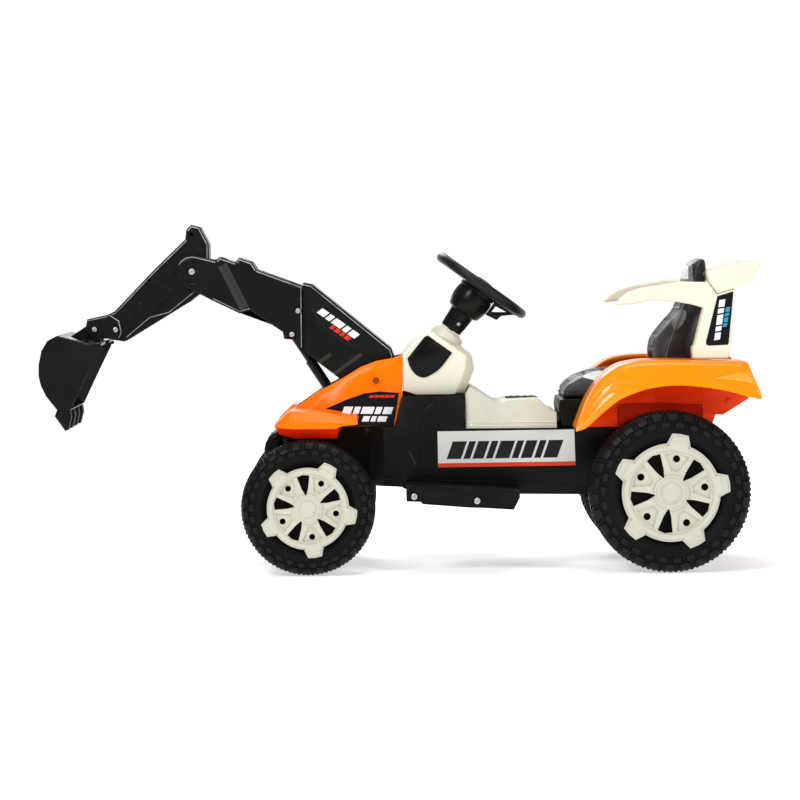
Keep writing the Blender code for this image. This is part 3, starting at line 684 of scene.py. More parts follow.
def place_floor():
    """A sweep: a flat floor, then a wide curve up to the back wall."""
    bm = bmesh.new()
    rows = []
    flat_share = 0.625
    for i in range(25):
        t = i / 24
        y, z = -9 + 13 * t * 1.6, 0
        if t >= flat_share:
            a = (t - flat_share) / (1 - flat_share) * math.pi / 2
            y, z = 4 + 3 * math.sin(a), 3 - 3 * math.cos(a)
        rows.append([bm.verts.new((x, y, z - 0.0004)) for x in (-9, 9)])
    join_rows(bm, rows, closed=False, capped=False)
    mesh = bpy.data.meshes.new("floor")
    bm.to_mesh(mesh)
    bm.free()
    mesh.shade_smooth()
    paint = surface("pale_floor", (0.93, 0.93, 0.925), 0.7, spread=0.005, blotch=2, bump=0.0)
    glow = paint.node_tree.nodes["Principled BSDF"]
    glow.inputs["Emission Color"].default_value = (1, 1, 1, 1)
    glow.inputs["Emission Strength"].default_value = 0.5
    mesh.materials.append(paint)
    shown(bpy.data.objects.new("floor", mesh))


# ---------------------------------------------------------------- wheels

FRONT = {"axle": (-0.188, 0.141), "radius": 0.1405, "inner": 0.16, "blocks": 30, "lobe": -10.0}
REAR = {"axle": (0.567, 0.1685), "radius": 0.1685, "inner": 0.142, "blocks": 30, "lobe": 8.7}
TYRE_FACE = 0.256  # |y| of the tyres' outer bulge
PER_BLOCK = 12  # columns of mesh for each block of the tread
TYRE_SIDE = (  # share of the radius, depth in from the bulge, pattern, lift outwards, lift sideways
    (0.705, 0.0032, "plain", 0, 0),
    (0.74, 0.0028, "plain", 0, 0),
    (0.755, 0.0022, "plain", 0, 0),
    (0.8, 0.0026, "plain", 0, 0),
    (0.806, 0.0028, "low", 0, 1.0),
    (0.83, 0.0026, "low", 0, 1.0),
    (0.868, 0.0028, "low", 0, 1.0),
    (0.874, 0.003, "plain", 0, 0),
    (0.884, 0.0034, "plain", 0, 0),
    (0.89, 0.004, "high", 0.2, 1.0),
    (0.925, 0.0062, "high", 0.5, 0.9),
    (0.952, 0.009, "high", 0.8, 0.5),
    (0.968, 0.014, "high", 1.0, 0.2),
    (0.976, 0.016, "plain", 0, 0),
    (0.981, 0.0185, "plain", 0, 0),
)
TREAD_BANDS = ((0.0, 0.24, "teeth"), (0.32, 0.48, "left"), (0.52, 0.68, "right"), (0.76, 1.0, "teeth"))


def tyre_rows(radius, inner):
    """The tyre's section from the bore, round the tread, to the web: r, |y|, pattern, lift."""
    face, back = TYRE_FACE, inner
    rows = [(0.009, back + 0.038), (0.028, back + 0.038), (0.03, back + 0.04)]
    rows += [(0.03, face - 0.04), (0.034, face - 0.038), (0.665 * radius, face - 0.042)]
    rows += [(0.68 * radius, face - 0.046), (0.695 * radius, back + 0.006)]
    rows = [(r, y, "plain", 0, 0) for r, y in rows]
    rows += [(r * radius, back + y, kind, a, -b) for r, y, kind, a, b in TYRE_SIDE]
    tread = face - back - 0.041
    for low, high, kind in TREAD_BANDS:
        steps = ((low, 0, 0), (low, 1, 0.0006), (high, 1, -0.0006), (high, 0, 0))
        for share, lift, slope in steps:
            y = back + 0.0205 + share * tread + slope
            rows.append((0.983 * radius, y, kind if lift else "plain", lift, 0))
    rows += [(r * radius, face - y, kind, a, b) for r, y, kind, a, b in reversed(TYRE_SIDE)]
    web = [(0.655 * radius, 0.0105), (0.635 * radius, 0.012), (0.63 * radius, 0.022), (0.009, 0.022)]
    return rows + [(r, face - y, "plain", 0, 0) for r, y in web]


def tyre_lift(kind, column):
    """How far a pattern stands up at a column of mesh, from 0 to 1."""
    if kind == "teeth":
        return 1.0 if column % 4 in (1, 2) else 0.0
    shift = {"high": 0, "low": 6, "left": 3, "right": 9}.get(kind)
    if shift is None:
        return 0.0
    return 1.0 if 1 <= (column + shift) % PER_BLOCK <= 8 else 0.0


def tyre(where, side, spec):
    """A tyre with its tread, and the dark disc behind the hub cover."""
    radius, (x0, z0) = spec["radius"], spec["axle"]
    rows = tyre_rows(radius, spec["inner"])
    kinds = [row[2] for row in rows]
    columns = spec["blocks"] * PER_BLOCK
    out_lift, side_lift = 0.016 * radius, 0.0032
    points, faces = [], []
    for r, y, kind, out, along in rows:
        for c in range(columns):
            lift = tyre_lift(kind, c)
            a = math.tau * c / columns
            reach = r + lift * out * out_lift
            flank = side * (y + lift * along * side_lift)
            points.append((x0 + reach * math.cos(a), flank, z0 + reach * math.sin(a)))
    for i in range(len(rows)):
        near, far = i * columns, (i + 1) % len(rows) * columns
        for c in range(columns):
            d = (c + 1) % columns
            faces.append((near + c, near + d, far + d, far + c))
    mesh = bpy.data.meshes.new("tyre")
    mesh.from_pydata(points, [], faces)
    bm = bmesh.new()
    bm.from_mesh(mesh)
    bpy.data.meshes.remove(mesh)
    bm.faces.ensure_lookup_table()
    for i, (kind, after) in enumerate(zip(kinds, kinds[1:])):
        for c in range(columns):
            if kind == after and tyre_lift(kind, c) and tyre_lift(kind, (c + 1) % columns):
                bm.faces[i * columns + c].material_index = 1
    node = f"wheel_{where}"
    mats = [RUBBER, LUG]
    as_piece(f"tyre_{where}", bm, BODY_OF[node], "tyre_black", mats, 38, [node])


def cover_mesh(radius, lobe_turn):
    """A hub cover at the origin, facing +Y, with y = 0 at the tyre's bulge."""

    def plate(pairs, low, high):
        """A prism from (share of the radius, degrees) pairs."""
        return flat_ring(polar([(share * radius, turn) for share, turn in pairs]), low, high)

    edge, tip = 0.609 * radius, 0.73 * radius
    outline, joins, cuts = [], [], []
    for k in range(5):
        a = lobe_turn + 72 * k
        outline += [(edge, a - 58 + 4 * i) for i in range(12)]
        outline += [(tip, a - 8), (tip * 1.004, a), (tip, a + 8)]
        pad = [(0.6, a - 11.5), (0.702, a - 6.5), (0.702, a + 6.5), (0.6, a + 11.5)]
        step = [(0.56, a - 12.5), (0.638, a - 9.5), (0.638, a + 9.5), (0.56, a + 12.5)]
        dish = [(0.27, a - 9), (0.485, a - 18.5), (0.5, a), (0.485, a + 18.5), (0.27, a + 9)]
        wedge = [(0.205, a + 34), (0.3, a + 27), (0.495, a + 25), (0.51, a + 36)]
        wedge += [(0.495, a + 47), (0.3, a + 45), (0.205, a + 38)]
        spot = polar([(0.42 * radius, a)])[0]
        joins += [plate(pad, -0.004, 0.0024), plate(step, -0.004, 0.0042)]
        joins.append(disc(0.07 * radius, -0.0075, -0.0035, 28, spot))
        cuts.append(plate(dish, -0.0062, 0.02))
        cuts.append(disc(0.045 * radius, -0.02, 0.02, 20, spot))
        cuts.append(plate(wedge, -0.02, 0.02))
    ring = disc(0.58 * radius, -0.004, 0.0038, 90)
    inner = disc(0.525 * radius, -0.0012, 0.01, 90)
    boss = disc(0.215 * radius, -0.004, 0.0046, 48)
    base = flat_ring(polar(outline), -0.009, -0.0014)
    bm = carved(base, [ring] + joins, [inner])
    return carved(bm, [boss], cuts)


def cap_mesh(radius, turn):
    """A hub cap at the origin, facing +Y: a shallow dish round a raised hexagon."""
    rim = disc(0.178 * radius, 0.003, 0.0072, 48)
    well = disc(0.148 * radius, 0.0062, 0.02, 48)
    hexagon = polar([(0.128 * radius, turn + 60 * i) for i in range(6)])
    return carved(carved(rim, [], [well]), [flat_ring(hexagon, 0.004, 0.0088)])


def turned(bm, side, spec):
    """A hub piece made at the origin, put on its wheel on one side of the toy."""
    x0, z0 = spec["axle"]
    for vert in bm.verts:
        vert.co = (x0 + vert.co.x, side * (TYRE_FACE + vert.co.y), z0 + vert.co.z)
    return bm


def wheels():
    """Four tyres, each with its hub cover and cap."""
    for end, spec in (("front", FRONT), ("rear", REAR)):
        radius, lobe = spec["radius"], spec["lobe"]
        for word, side in SIDES:
            where = f"{end}_{word}"
            tyre(where, side, spec)
            for node, shape, edge in (
                (f"hub_cover_{where}", cover_mesh(radius, lobe), 0.0011),
                (f"hub_cap_{where}", cap_mesh(radius, lobe + 20), 0.0012),
            ):
                bm = turned(shape, side, spec)
                piece = as_piece(f"{node}_shape", bm, BODY_OF[node], "cream_trim", HUB, 50, [node])
                soften(piece, edge, 3, 24)


# ---------------------------------------------------------------- fasteners

PIN_HEADS = {  # how far each pin's screw heads stand out
    "elbow_pin": 0.0035,
    "boom_bolt": 0.003,
    "cylinder_pin": 0.003,
    "mount_bolt": 0.003,
    "bucket_pin": 0.003,
    "step_rod_front": 0.004,
    "step_rod_rear": 0.004,
}


def pan_head(radius, thick):
    """A domed screw head with a cross recess, at the origin with its Z outwards."""
    dome = bmesh.new()
    profile = [(radius * 0.94, -0.0004), (radius, 0.0002), (radius, thick * 0.35)]
    for k in range(1, 6):
        a = math.radians(90 * k / 6)
        profile.append((radius * math.cos(a * 0.93), thick * (0.35 + 0.65 * math.sin(a))))
    add_turned(dome, profile, Matrix.Identity(4), 28)
    cuts = []
    for turn in (0, 1):
        long, short = radius * 0.62, radius * 0.2
        x, y = (long, short) if turn == 0 else (short, long)
        cut = bmesh.new()
        bmesh.ops.create_cube(cut, size=1.0)
        bmesh.ops.scale(cut, vec=(2 * x, 2 * y, thick * 1.2), verts=cut.verts)
        bmesh.ops.translate(cut, vec=(0, 0, thick * 0.85), verts=cut.verts)
        cuts.append(cut)
    return carved(dome, [], cuts)


def pin_shape(node, thick):
    """A cross pin with a screw head at each end, in the CAD pin's place."""
    low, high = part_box(node)
    at = ((low[0] + high[0]) / 2, (low[2] + high[2]) / 2)
    reach, radius = high[1] - thick, (high[0] - low[0]) / 2
    head = radius * 0.76
    bm = bmesh.new()
    shank = [(radius * 0.45, -reach), (radius * 0.45, reach)]
    add_turned(bm, shank, facing(at, 0, 1), 16)
    washer = [(radius, -0.0004), (radius, 0.0006), (radius * 0.95, 0.001), (head * 0.97, 0.0006)]
    for side in (-1, 1):
        turn = Matrix.Rotation(0.6 + 0.9 * side + 31 * at[0], 4, "Z")
        merged(bm, pan_head(head, thick), facing(at, reach, side) @ turn)
        add_turned(bm, washer, facing(at, reach, side), 28)
    for face in bm.faces:
        middle = face.calc_center_median()
        face.material_index = int(math.hypot(middle.x - at[0], middle.z - at[1]) > head * 1.01)
    mats = [STEEL, BLACK]
    as_piece(f"{node}_shape", bm, BODY_OF[node], SLOT_OF[node], mats, 40, [node])


def fasteners():
    """The screw heads and shanks of every cross pin."""
    for node, thick in PIN_HEADS.items():
        pin_shape(node, thick)


# ---------------------------------------------------------------- digging arm


def side_faces(bm, side, half):
    """The flat faces that look to one side at |y| = half."""
    found = []
    for face in bm.faces:
        level = abs(side * face.calc_center_median().y - half) < 2e-4
        if level and face.normal.y * side > 0.999:
            found.append(face)
    return found


def highlight_strips(beads, faces, half, side, inset):
    """Adds thin bars to the bmesh, just inside the upper and rear edges of a flat side's faces, for a painted
    highlight.
    """
    inner = set(faces)
    shortest, width, height = 0.008, 0.0017, 0.0006
    for loop in (loop for face in faces for loop in face.loops):
        if len([other for other in loop.edge.link_loops if other.face in inner]) != 1:
            continue
        start, end = loop.vert.co, loop.link_loop_next.vert.co
        along = Vector((end.x - start.x, end.z - start.z))
        if along.length < shortest:
            continue
        along.normalize()
        out = Vector((-along.y, along.x)) * side
        if out.y < 0.4 and out.x < 0.85:
            continue
        low = (start.x - out.x * inset, start.z - out.y * inset)
        high = (end.x - out.x * inset, end.z - out.y * inset)
        bar(beads, low, high, width, half, height, side)


def flanged(node, rim, chamfer, depth, bead):
    """A CAD node whose flat sides stand proud of a narrow rim, with a bead along their tops painted pale as a
    highlight.
    """
    bm = cad_mesh(node)
    half = max(abs(vert.co.y) for vert in bm.verts)
    beads = bmesh.new()
    for side in (-1, 1):
        faces = side_faces(bm, side, half)
        if bead:
            highlight_strips(beads, faces, half, side, bead)
        options = {"use_boundary": True, "use_even_offset": True}
        rim_faces = bmesh.ops.inset_region(bm, faces=faces, thickness=rim, **options)["faces"]
        bmesh.ops.inset_region(bm, faces=faces, thickness=chamfer, **options)
        for vert in {vert for face in rim_faces for vert in face.verts}:
            vert.co.y -= side * depth
    slot = SLOT_OF[node]
    if beads.verts:
        as_piece(f"{node}_highlight_strips", beads, BODY_OF[node], slot, HIGHLIGHT_GREY, 40)
    thing = as_piece(f"{node}_shape", bm, BODY_OF[node], slot, ARM_BLACK, 60, [node])
    return soften(thing, 0.0006, 2, 24)


def boom_front_trim(word, side):
    """Beads painted pale as a highlight, a cross band painted lighter as a highlight, a ring round the elbow and
    small bosses on the boom's front half.
    """
    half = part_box("boom_front")[1][1]
    beads = bmesh.new()
    bar(beads, (-0.39, 0.576), (-0.3345, 0.5485), 0.0015, half, 0.0006, side)
    bar(beads, (-0.333, 0.5485), (-0.313, 0.5545), 0.0015, half, 0.0006, side)
    as_piece(f"boom_front_low_highlight_strip_{word}", beads, "boom", "black_body", HIGHLIGHT_GREY, 40)
    band = bmesh.new()
    bar(band, (-0.3705, 0.648), (-0.3235, 0.5535), 0.0195, half, 0.0022, side)
    as_piece(f"boom_front_band_{word}", band, "boom", "black_body", RIB_HIGHLIGHT, 30)
    ribs = bmesh.new()
    elbow = (-0.4355, 0.634)
    ring = polar([(0.0265, 62 + 226 * i / 24) for i in range(25)], elbow)
    tube(ribs, at_y(ring, side * half), 0.0022, 8)
    seat = [(0.0125, 0), (0.0125, 0.0008), (0.0112, 0.0014), (0.01, 0.0006)]
    add_turned(ribs, seat, facing(elbow, half - 0.0002, side))
    for at in ((-0.3, 0.5615), (-0.352, 0.575)):
        boss = [(0.0035, 0), (0.0035, 0.0008), (0.0026, 0.0008)]
        add_turned(ribs, boss, facing(at, half, side), 16)
    as_piece(f"boom_front_ribs_{word}", ribs, "boom", "black_body", ARM_BLACK, 30)


def boom_rear_trim(word, side):
    """Two short bands painted lighter as highlights, and a sweeping rib on the boom's rear half."""
    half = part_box("boom_rear")[1][1]
    bands = bmesh.new()
    bar(bands, (-0.164, 0.4395), (-0.1395, 0.4565), 0.0095, half, 0.0022, side)
    bar(bands, (-0.1335, 0.4125), (-0.074, 0.456), 0.0095, half, 0.0022, side)
    as_piece(f"boom_rear_bands_{word}", bands, "boom", "black_body", RIB_HIGHLIGHT, 30)
    ribs = bmesh.new()
    sweep = [(-0.1785, 0.554), (-0.16, 0.509), (-0.1173, 0.4745), (-0.0662, 0.4548)]
    tube(ribs, at_y(flat_curve(sweep), side * half), 0.0014, 8)
    as_piece(f"boom_rear_ribs_{word}", ribs, "boom", "black_body", ARM_BLACK, 30)


def stick_trim(word, side):
    """A bead along the stick's lower edge painted pale as a highlight, ribs and two plugged holes."""
    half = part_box("stick")[1][1]
    beads = bmesh.new()
    low = [(-0.5765, 0.4955), (-0.527, 0.537), (-0.486, 0.5475), (-0.431, 0.591)]
    for start, end in zip(low, low[1:]):
        bar(beads, start, end, 0.0015, half, 0.0006, side)
    as_piece(f"stick_low_highlight_strip_{word}", beads, "stick_arm", "black_body", HIGHLIGHT_GREY, 40)
    ribs = bmesh.new()
    bar(ribs, (-0.51, 0.604), (-0.46, 0.642), 0.0035, half, 0.0012, side)
    bar(ribs, (-0.56, 0.533), (-0.548, 0.569), 0.007, half, 0.0016, side)
    bar(ribs, (-0.518, 0.545), (-0.47, 0.595), 0.0045, half, 0.0014, side)
    as_piece(f"stick_ribs_{word}", ribs, "stick_arm", "black_body", ARM_BLACK, 30)
    plugs = bmesh.new()
    for at, r in (((-0.4365, 0.7125), 0.0052), ((-0.5265, 0.618), 0.0045)):
        lip = [(r, 0), (r, 0.0007), (r * 0.8, 0.0007), (r * 0.7, 0.0002)]
        add_turned(plugs, lip, facing(at, half - 0.0002, side))
    as_piece(f"stick_plugs_{word}", plugs, "stick_arm", "gloss_black_trim", GLOSS, 30)


def boom_stickers(word, side):
    """A black panel with white and red slanted bars on the boom's rear half."""
    panel = [(-0.1905, 0.59), (-0.1795, 0.5945), (-0.022, 0.4655), (-0.029, 0.459)]
    panel += [(-0.0662, 0.458), (-0.115, 0.478), (-0.156, 0.5115), (-0.184, 0.552)]
    where = (side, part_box("boom_rear")[1][1] + 0.02, ["boom_rear"])
    look = ("boom", "gloss_black_trim")
    skin(f"boom_sticker_{word}", panel, *where, 0.0004, BLACK_INK, *look, 0.02)
    white = slanted((-0.17, 0.545), (-0.0905, 0.488), 0.0145, (1.1, 0.7, 1.5, 0.7, 1.1))
    stickers(f"boom_bars_{word}", white, *where, 0.0008, WHITE_INK, *look)
    red = slanted((-0.144, 0.5125), (-0.104, 0.4835), 0.0095, (0.7, 1, 0.7, 1))
    stickers(f"boom_red_bars_{word}", red, *where, 0.0008, RED_INK, *look)


def bucket_trim():
    """The bucket's lower faces that look towards +X made darker and duller as painted shade, rolled lips and side
    bars.
    """
    bucket = bpy.data.objects["bucket_shape"]
    bucket.data.materials.append(RUBBER)
    # Lower faces that look towards +X get the darker, duller black: painted shade.
    for face in bucket.data.polygons:
        if face.normal.x > 0.3 and face.center.z < 0.358:
            face.material_index = 1
    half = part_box("bucket")[1][1]
    lip = [(-0.655, 0.4835), (-0.7, 0.496), (-0.713, 0.4995), (-0.7335, 0.4885)]
    edge = [(-0.627, 0.474), (-0.669, 0.39), (-0.689, 0.353)]
    trim = bmesh.new()
    for side in (-1, 1):
        tube(trim, at_y(lip, side * (half - 0.0035)), 0.0032, 8)
        bar(trim, (-0.648, 0.477), (-0.62, 0.4785), 0.0065, half, 0.002, side)
        tube(trim, at_y(edge, side * (half - 0.0008)), 0.0016, 8)
    as_piece("bucket_trim", trim, "bucket_shell", "black_body", ARM_BLACK, 30)


def arm():
    """The boom, stick and bucket, with the ram under the boom."""
    for node, rim, chamfer, depth, bead in (
        ("boom_rear", 0.0012, 0.0014, 0.0014, 0.005),
        ("boom_front", 0.0009, 0.0011, 0.0012, 0.004),
        ("stick", 0.0009, 0.0011, 0.0012, 0.004),
        ("bucket", 0.0009, 0.0011, 0.001, 0.0),
        ("bucket_mount", 0.0009, 0.001, 0.001, 0.0034),
    ):
        flanged(node, rim, chamfer, depth, bead)
    rounded("cylinder_barrel", 0.001, ARM_BLACK)
    rounded("cylinder_rod", 0.001, ARM_BLACK)
    for word, side in SIDES:
        boom_front_trim(word, side)
        boom_rear_trim(word, side)
        stick_trim(word, side)
        boom_stickers(word, side)
    bucket_trim()


# ---------------------------------------------------------------- bonnet and tub

BOOM_PIVOT = (-0.045, 0.4)  # x, z
TUB_HALF = 0.13  # |y| of the tub's sides


def pivot_caps():
    """The boom's pivot: a shank through the bonnet with a recessed cap at each end, its middle painted dark brown
    as shade.
    """
    caps = bmesh.new()
    add_turned(caps, [(0.0072, -0.0965), (0.0072, 0.0965)], facing(BOOM_PIVOT, 0, 1), 16)
    rim = [(0.0102, 0.0955), (0.0102, 0.1022), (0.0092, 0.1034), (0.008, 0.1034)]
    rim += [(0.0072, 0.1022), (0.0068, 0.1002), (0.004, 0.0998), (0.0034, 0.1008)]
    for side in (-1, 1):
        add_turned(caps, rim, facing(BOOM_PIVOT, 0, side), 32)
    # The middle of each cap is painted dark brown: painted shade in the recess.
    for face in caps.faces:
        at = face.calc_center_median()
        face.material_index = int(math.hypot(at.x - BOOM_PIVOT[0], at.z - BOOM_PIVOT[1]) < 0.0066)
    node, mats = "boom_pivot_pin", [ORANGE, RECESS_SHADE]
    as_piece("pivot_caps", caps, BODY_OF[node], "steel_parts", mats, 40, [node])


def hood_side(word, side):
    """The pivot's pad, the stickers and the edge beads on one side of the bonnet."""
    where = (side, 0.1035, ["hood"])
    x, z = BOOM_PIVOT
    tab = polar([(0.0165, angle) for angle in range(0, 181, 12)], (x, z + 0.001))
    tab += [(x - 0.0165, 0.379), (x + 0.0165, 0.379)]
    skin(f"pivot_pad_{word}", tab, *where, 0.0009, ORANGE, "chassis", "orange_body", 0.006)
    panel = [(-0.152, 0.3415), (-0.104, 0.362), (-0.071, 0.373), (-0.039, 0.377), (0.0035, 0.374)]
    panel += [(-0.0085, 0.3045), (-0.114, 0.3045), (-0.112, 0.31), (-0.088, 0.3175)]
    panel += [(-0.0815, 0.3215), (-0.0855, 0.33), (-0.134, 0.3385)]
    look = ("chassis", "gloss_black_trim")
    near = {"reach": 0.0065}
    skin(f"hood_sticker_{word}", panel, *where, 0.0011, BLACK_INK, *look, 0.008, **near)
    rows = slanted((-0.118, 0.331), (-0.013, 0.329), 0.015, (1.2, 0.8, 1.6, 0.8, 1.2))
    rows += slanted((-0.076, 0.314), (-0.024, 0.313), 0.0115, (1, 0.7, 1.3))
    stickers(f"hood_bars_{word}", rows, *where, 0.0016, WHITE_INK, *look, **near)
    red = slanted((-0.06, 0.364), (-0.006, 0.364), 0.0055, (1, 1, 1, 1, 1), gap=0.12)
    stickers(f"hood_red_bars_{word}", red, *where, 0.0016, RED_INK, *look, **near)
    tree = tree_of(["hood"])
    points = []
    for x, z in ((-0.004, 0.3765), (-0.01, 0.34), (-0.0155, 0.31)):
        hit = tree.ray_cast(Vector((x + 0.0105, side * 0.1035, z)), Vector((0, -side, 0)))[0]
        points.append(hit if hit is not None else Vector((x, side * 0.1, z)))
    line = bmesh.new()
    tube(line, points, 0.0011, 8)
    as_piece(f"hood_rear_bead_{word}", line, "chassis", "orange_body", ORANGE, 30)
    seam = bmesh.new()
    dip = [(-0.2205, 0.3395), (-0.212, 0.331), (-0.202, 0.327)]
    tube(seam, at_y(dip, side * 0.2052), 0.0008, 6)
    as_piece(f"guard_seam_{word}", seam, "chassis", "deep_orange_body", DEEP_ORANGE_AND_SHADE, 30)


def bonnet():
    """The bonnet with its front mudguards, painted deep orange underneath as shade."""
    shell = rounded("hood", 0.0018, ORANGE)
    shell.data.materials.append(DEEP_ORANGE_AND_SHADE)
    # The mudguards' downward faces get the deep orange: painted shade.
    for face in shell.data.polygons:
        if face.center.z < 0.3125 and face.normal.z < -0.02 and abs(face.center.y) > 0.102:
            face.material_index = 1
    rounded("front_bumper", 0.004, BLACK)
    pivot_caps()
    for word, side in SIDES:
        hood_side(word, side)


def tub_side(word, side):
    """The moulded lines, the dent painted lighter as its highlight, and the sill at the dash on one side of the
    tub.
    """
    y = side * TUB_HALF
    beads = bmesh.new()
    upper = [(0.076, 0.35), (0.064, 0.344), (0.056, 0.332), (0.0525, 0.315)]
    upper += [(0.0516, 0.295), (0.0514, 0.26), (0.0516, 0.226)]
    for line, radius in (
        (flat_curve(upper), 0.0018),
        ([(0.088, 0.21), (0.39, 0.2115)], 0.0016),
        ([(-0.028, 0.193), (0.02, 0.1925), (0.39, 0.176)], 0.0013),
        ([(-0.004, 0.246), (0.024, 0.2455)], 0.0011),
        ([(0.087, 0.355), (0.087, 0.307)], 0.0012),
    ):
        tube(beads, at_y(line, y), radius)
    bar(beads, (0.0446, 0.2185), (0.0506, 0.2185), 0.006, TUB_HALF, 0.0014, side)
    as_piece(f"tub_beads_{word}", beads, "chassis", "black_body", ARM_BLACK, 30)
    dent = bmesh.new()
    bar(dent, (0.0245, 0.2505), (0.0385, 0.2205), 0.0042, TUB_HALF, 0.0022, side)
    as_piece(f"tub_dent_{word}", dent, "chassis", "black_body", RIB_HIGHLIGHT, 30)
    corner = [(0.124, 0.374), (0.1405, 0.374), (0.1405, 0.35), (0.124, 0.35)]
    sill = flat_ring(corner, *sorted((0.1 * side, 0.118 * side)))
    soften(as_piece(f"dash_sill_{word}", sill, "chassis", "black_body", BLACK, 30), 0.0015, 2, 30)


def tub():
    """The black tub with a silver plate, a red stripe and black bars on each side."""
    rounded("chassis_tub", 0.0025, BLACK)
    plate = [(0.084, 0.293), (0.373, 0.295), (0.375, 0.219), (0.085, 0.217)]
    stripe = [(0.0852, 0.2256), (0.3748, 0.2276), (0.375, 0.219), (0.085, 0.217)]
    shares = (1.3, 0.6, 1.0, 0.6, 1.3, 0.6, 1.0, 0.6, 1.3)
    blocks = slanted((0.103, 0.2345), (0.338, 0.236), 0.037, shares, 0.36, 0.22)
    look = ("chassis", "gloss_black_trim")
    for word, side in SIDES:
        tub_side(word, side)
        where = (side, TUB_HALF + 0.02, ["chassis_tub"])
        skin(f"side_plate_{word}", plate, *where, 0.0012, SILVER_INK, *look, 0.03, 0.0015)
        skin(f"side_stripe_{word}", stripe, *where, 0.0016, RED_INK, *look, 0.03)
        stickers(f"side_bars_{word}", blocks, *where, 0.0016, BLACK_INK, *look)


# ---------------------------------------------------------------- cockpit

WHEEL_MIDDLE = (0.183, 0.0, 0.5985)


def column():
    """A frame at the steering wheel's middle: Z runs up the column, X down towards the seat."""
    joint = next(j for j in frame["joints"] if j["name"] == "steering_turn")
    up = Vector(joint["axis"]).normalized()
    up *= math.copysign(1, up.z)
    down = Vector((up.z, 0, -up.x))
    turn = Matrix((down, up.cross(down), up)).transposed().to_4x4()
    return Matrix.Translation(WHEEL_MIDDLE) @ turn


def dash_shell():
    """Broad flat cheeks with a chamfer down their rear edge."""
    outline = [(40, 368.6), (12.2, 378), (11.8, 455), (20, 467), (37, 485), (58, 498), (80, 500)]
    outline += [(140, 467), (159, 451), (164, 423), (143, 368.6)]
    cheek = [(42, 369.5), (13.2, 379), (12.8, 454), (22, 466), (39, 483), (59, 495.5), (79, 497)]
    cheek += [(126, 464.5), (146, 452), (144, 425), (121, 369.5)]
    between = []
    for i, ((a, b), (c, d)) in enumerate(zip(cheek, outline)):
        share = 0.25 if i >= 7 else 1.0
        between.append((a + (c - a) * share, b + (d - b) * share))
    stations = ((-98, cheek), (-93, between), (-72, outline))
    stations += ((72, outline), (93, between), (98, cheek))
    bm = bmesh.new()
    prism_rows(bm, [at_y(mm(line), y / 1000) for y, line in stations])
    shell = as_piece("dash_shell", bm, "chassis", "cream_trim", CREAM, 60, ["dash_console"])
    soften(shell, 0.0022, 3, 12)


def column_collar():
    """The raised ring that the steering column comes out of."""
    profile = [(38, -190, 1), (37, -152, 2), (36.2, -138, 3), (35.8, -128, 3), (34.6, -119.5, 3)]
    profile += [(32.6, -115.8, 2.5), (29, -113.6, 1.5), (26.6, -112.2, 0.5), (25.6, -110.8, 0)]
    profile += [(23.5, -110.4, 0)]
    place = column()
    rows = []
    for radius, along, shift in profile:
        row = []
        for a in turns(64):
            spot = Vector((radius * math.cos(a) + shift, radius * math.sin(a), along - 6))
            row.append(place @ (spot / 1000))
        rows.append(row)
    collar = bmesh.new()
    prism_rows(collar, rows)
    as_piece("column_collar", collar, "chassis", "cream_trim", CREAM, 30)


def dash_panel():
    """The dark side panels, and a pale strip over the dash's front edge, painted as the reflection along it."""
    lower = [(117, 458), (111, 450), (90, 424), (67, 409), (55, 406), (41, 411), (28, 427), (22, 446)]
    shape = mm([(59, 492.5), (66, 495)] + flat_curve(lower, 5) + [(22.5, 448)])
    panel = bmesh.new()
    for side in (-1, 1):
        merged(panel, flat_ring(shape, *sorted((0.0972 * side, 0.1008 * side))))
    look = ("chassis", "gloss_black_trim", GLOSS, 40, ["dash_insert"])
    soften(as_piece("dash_panel", panel, *look), 0.001, 3, 24)
    # A thin whitish strip along the dash's front edge: a painted reflection.
    inner = [(14.5, 452), (21.5, 467), (38, 485), (58, 497.5)]
    outer = [(x - 1.4 * 0.75, z + 1.4 * 0.65) for x, z in inner]
    reflection_strip = bmesh.new()
    merged(reflection_strip, flat_ring(mm(outer + inner[::-1]), -0.086, 0.086))
    as_piece("dash_edge_reflection", reflection_strip, "chassis", "cream_trim", WHITE_LEATHER, 40)


def console():
    """The dash: its shell, the column's collar, a seam on each side and the panels."""
    dash_shell()
    column_collar()
    line = mm([(28, 427), (24, 441), (19, 450.5), (33, 470), (45, 483.5)])
    for word, side in SIDES:
        seam = bmesh.new()
        tube(seam, curve_through(at_y(line, side * 0.0985), 4), 0.0007, 6)
        as_piece(f"dash_seam_{word}", seam, "chassis", "cream_trim", CREAM, 30)
    dash_panel()


def cover():
    """The cover between the feet: its switches, their bezel, and beads along its sides."""
    # The cover in darkened cream: painted shade.
    rounded("centre_cover", 0.004, SHADED)
    edge = flat_box((0.232, -0.016, 0.3545), (0.3, 0.016, 0.3602))
    holes = []
    for x in (0.251, 0.281):
        holes.append(flat_box((x - 0.0105, -0.0085, 0.34), (x + 0.0105, 0.0085, 0.37)))
    plate = carved(edge, [], holes)
    piece = as_piece("switch_bezel", plate, "chassis", "gloss_black_trim", BLACK, 40)
    soften(piece, 0.0009, 2, 30)
    for node in ("power_switch", "direction_switch"):
        rounded(node, 0.0012, GLOSS)
    trim = bmesh.new()
    for side in (-1, 1):
        for z, y in ((0.3045, 0.1258), (0.3115, 0.1247)):
            tube(trim, at_y([(0.1475, z), (0.334, z)], side * y), 0.001, 6)
        boss = [(0.0034, 0), (0.0034, 0.0022), (0.0024, 0.003)]
        add_turned(trim, boss, facing((0.156, 0.3055), 0.1245, side), 16)
    as_piece("cover_beads", trim, "chassis", "cream_trim", CREAM, 30)


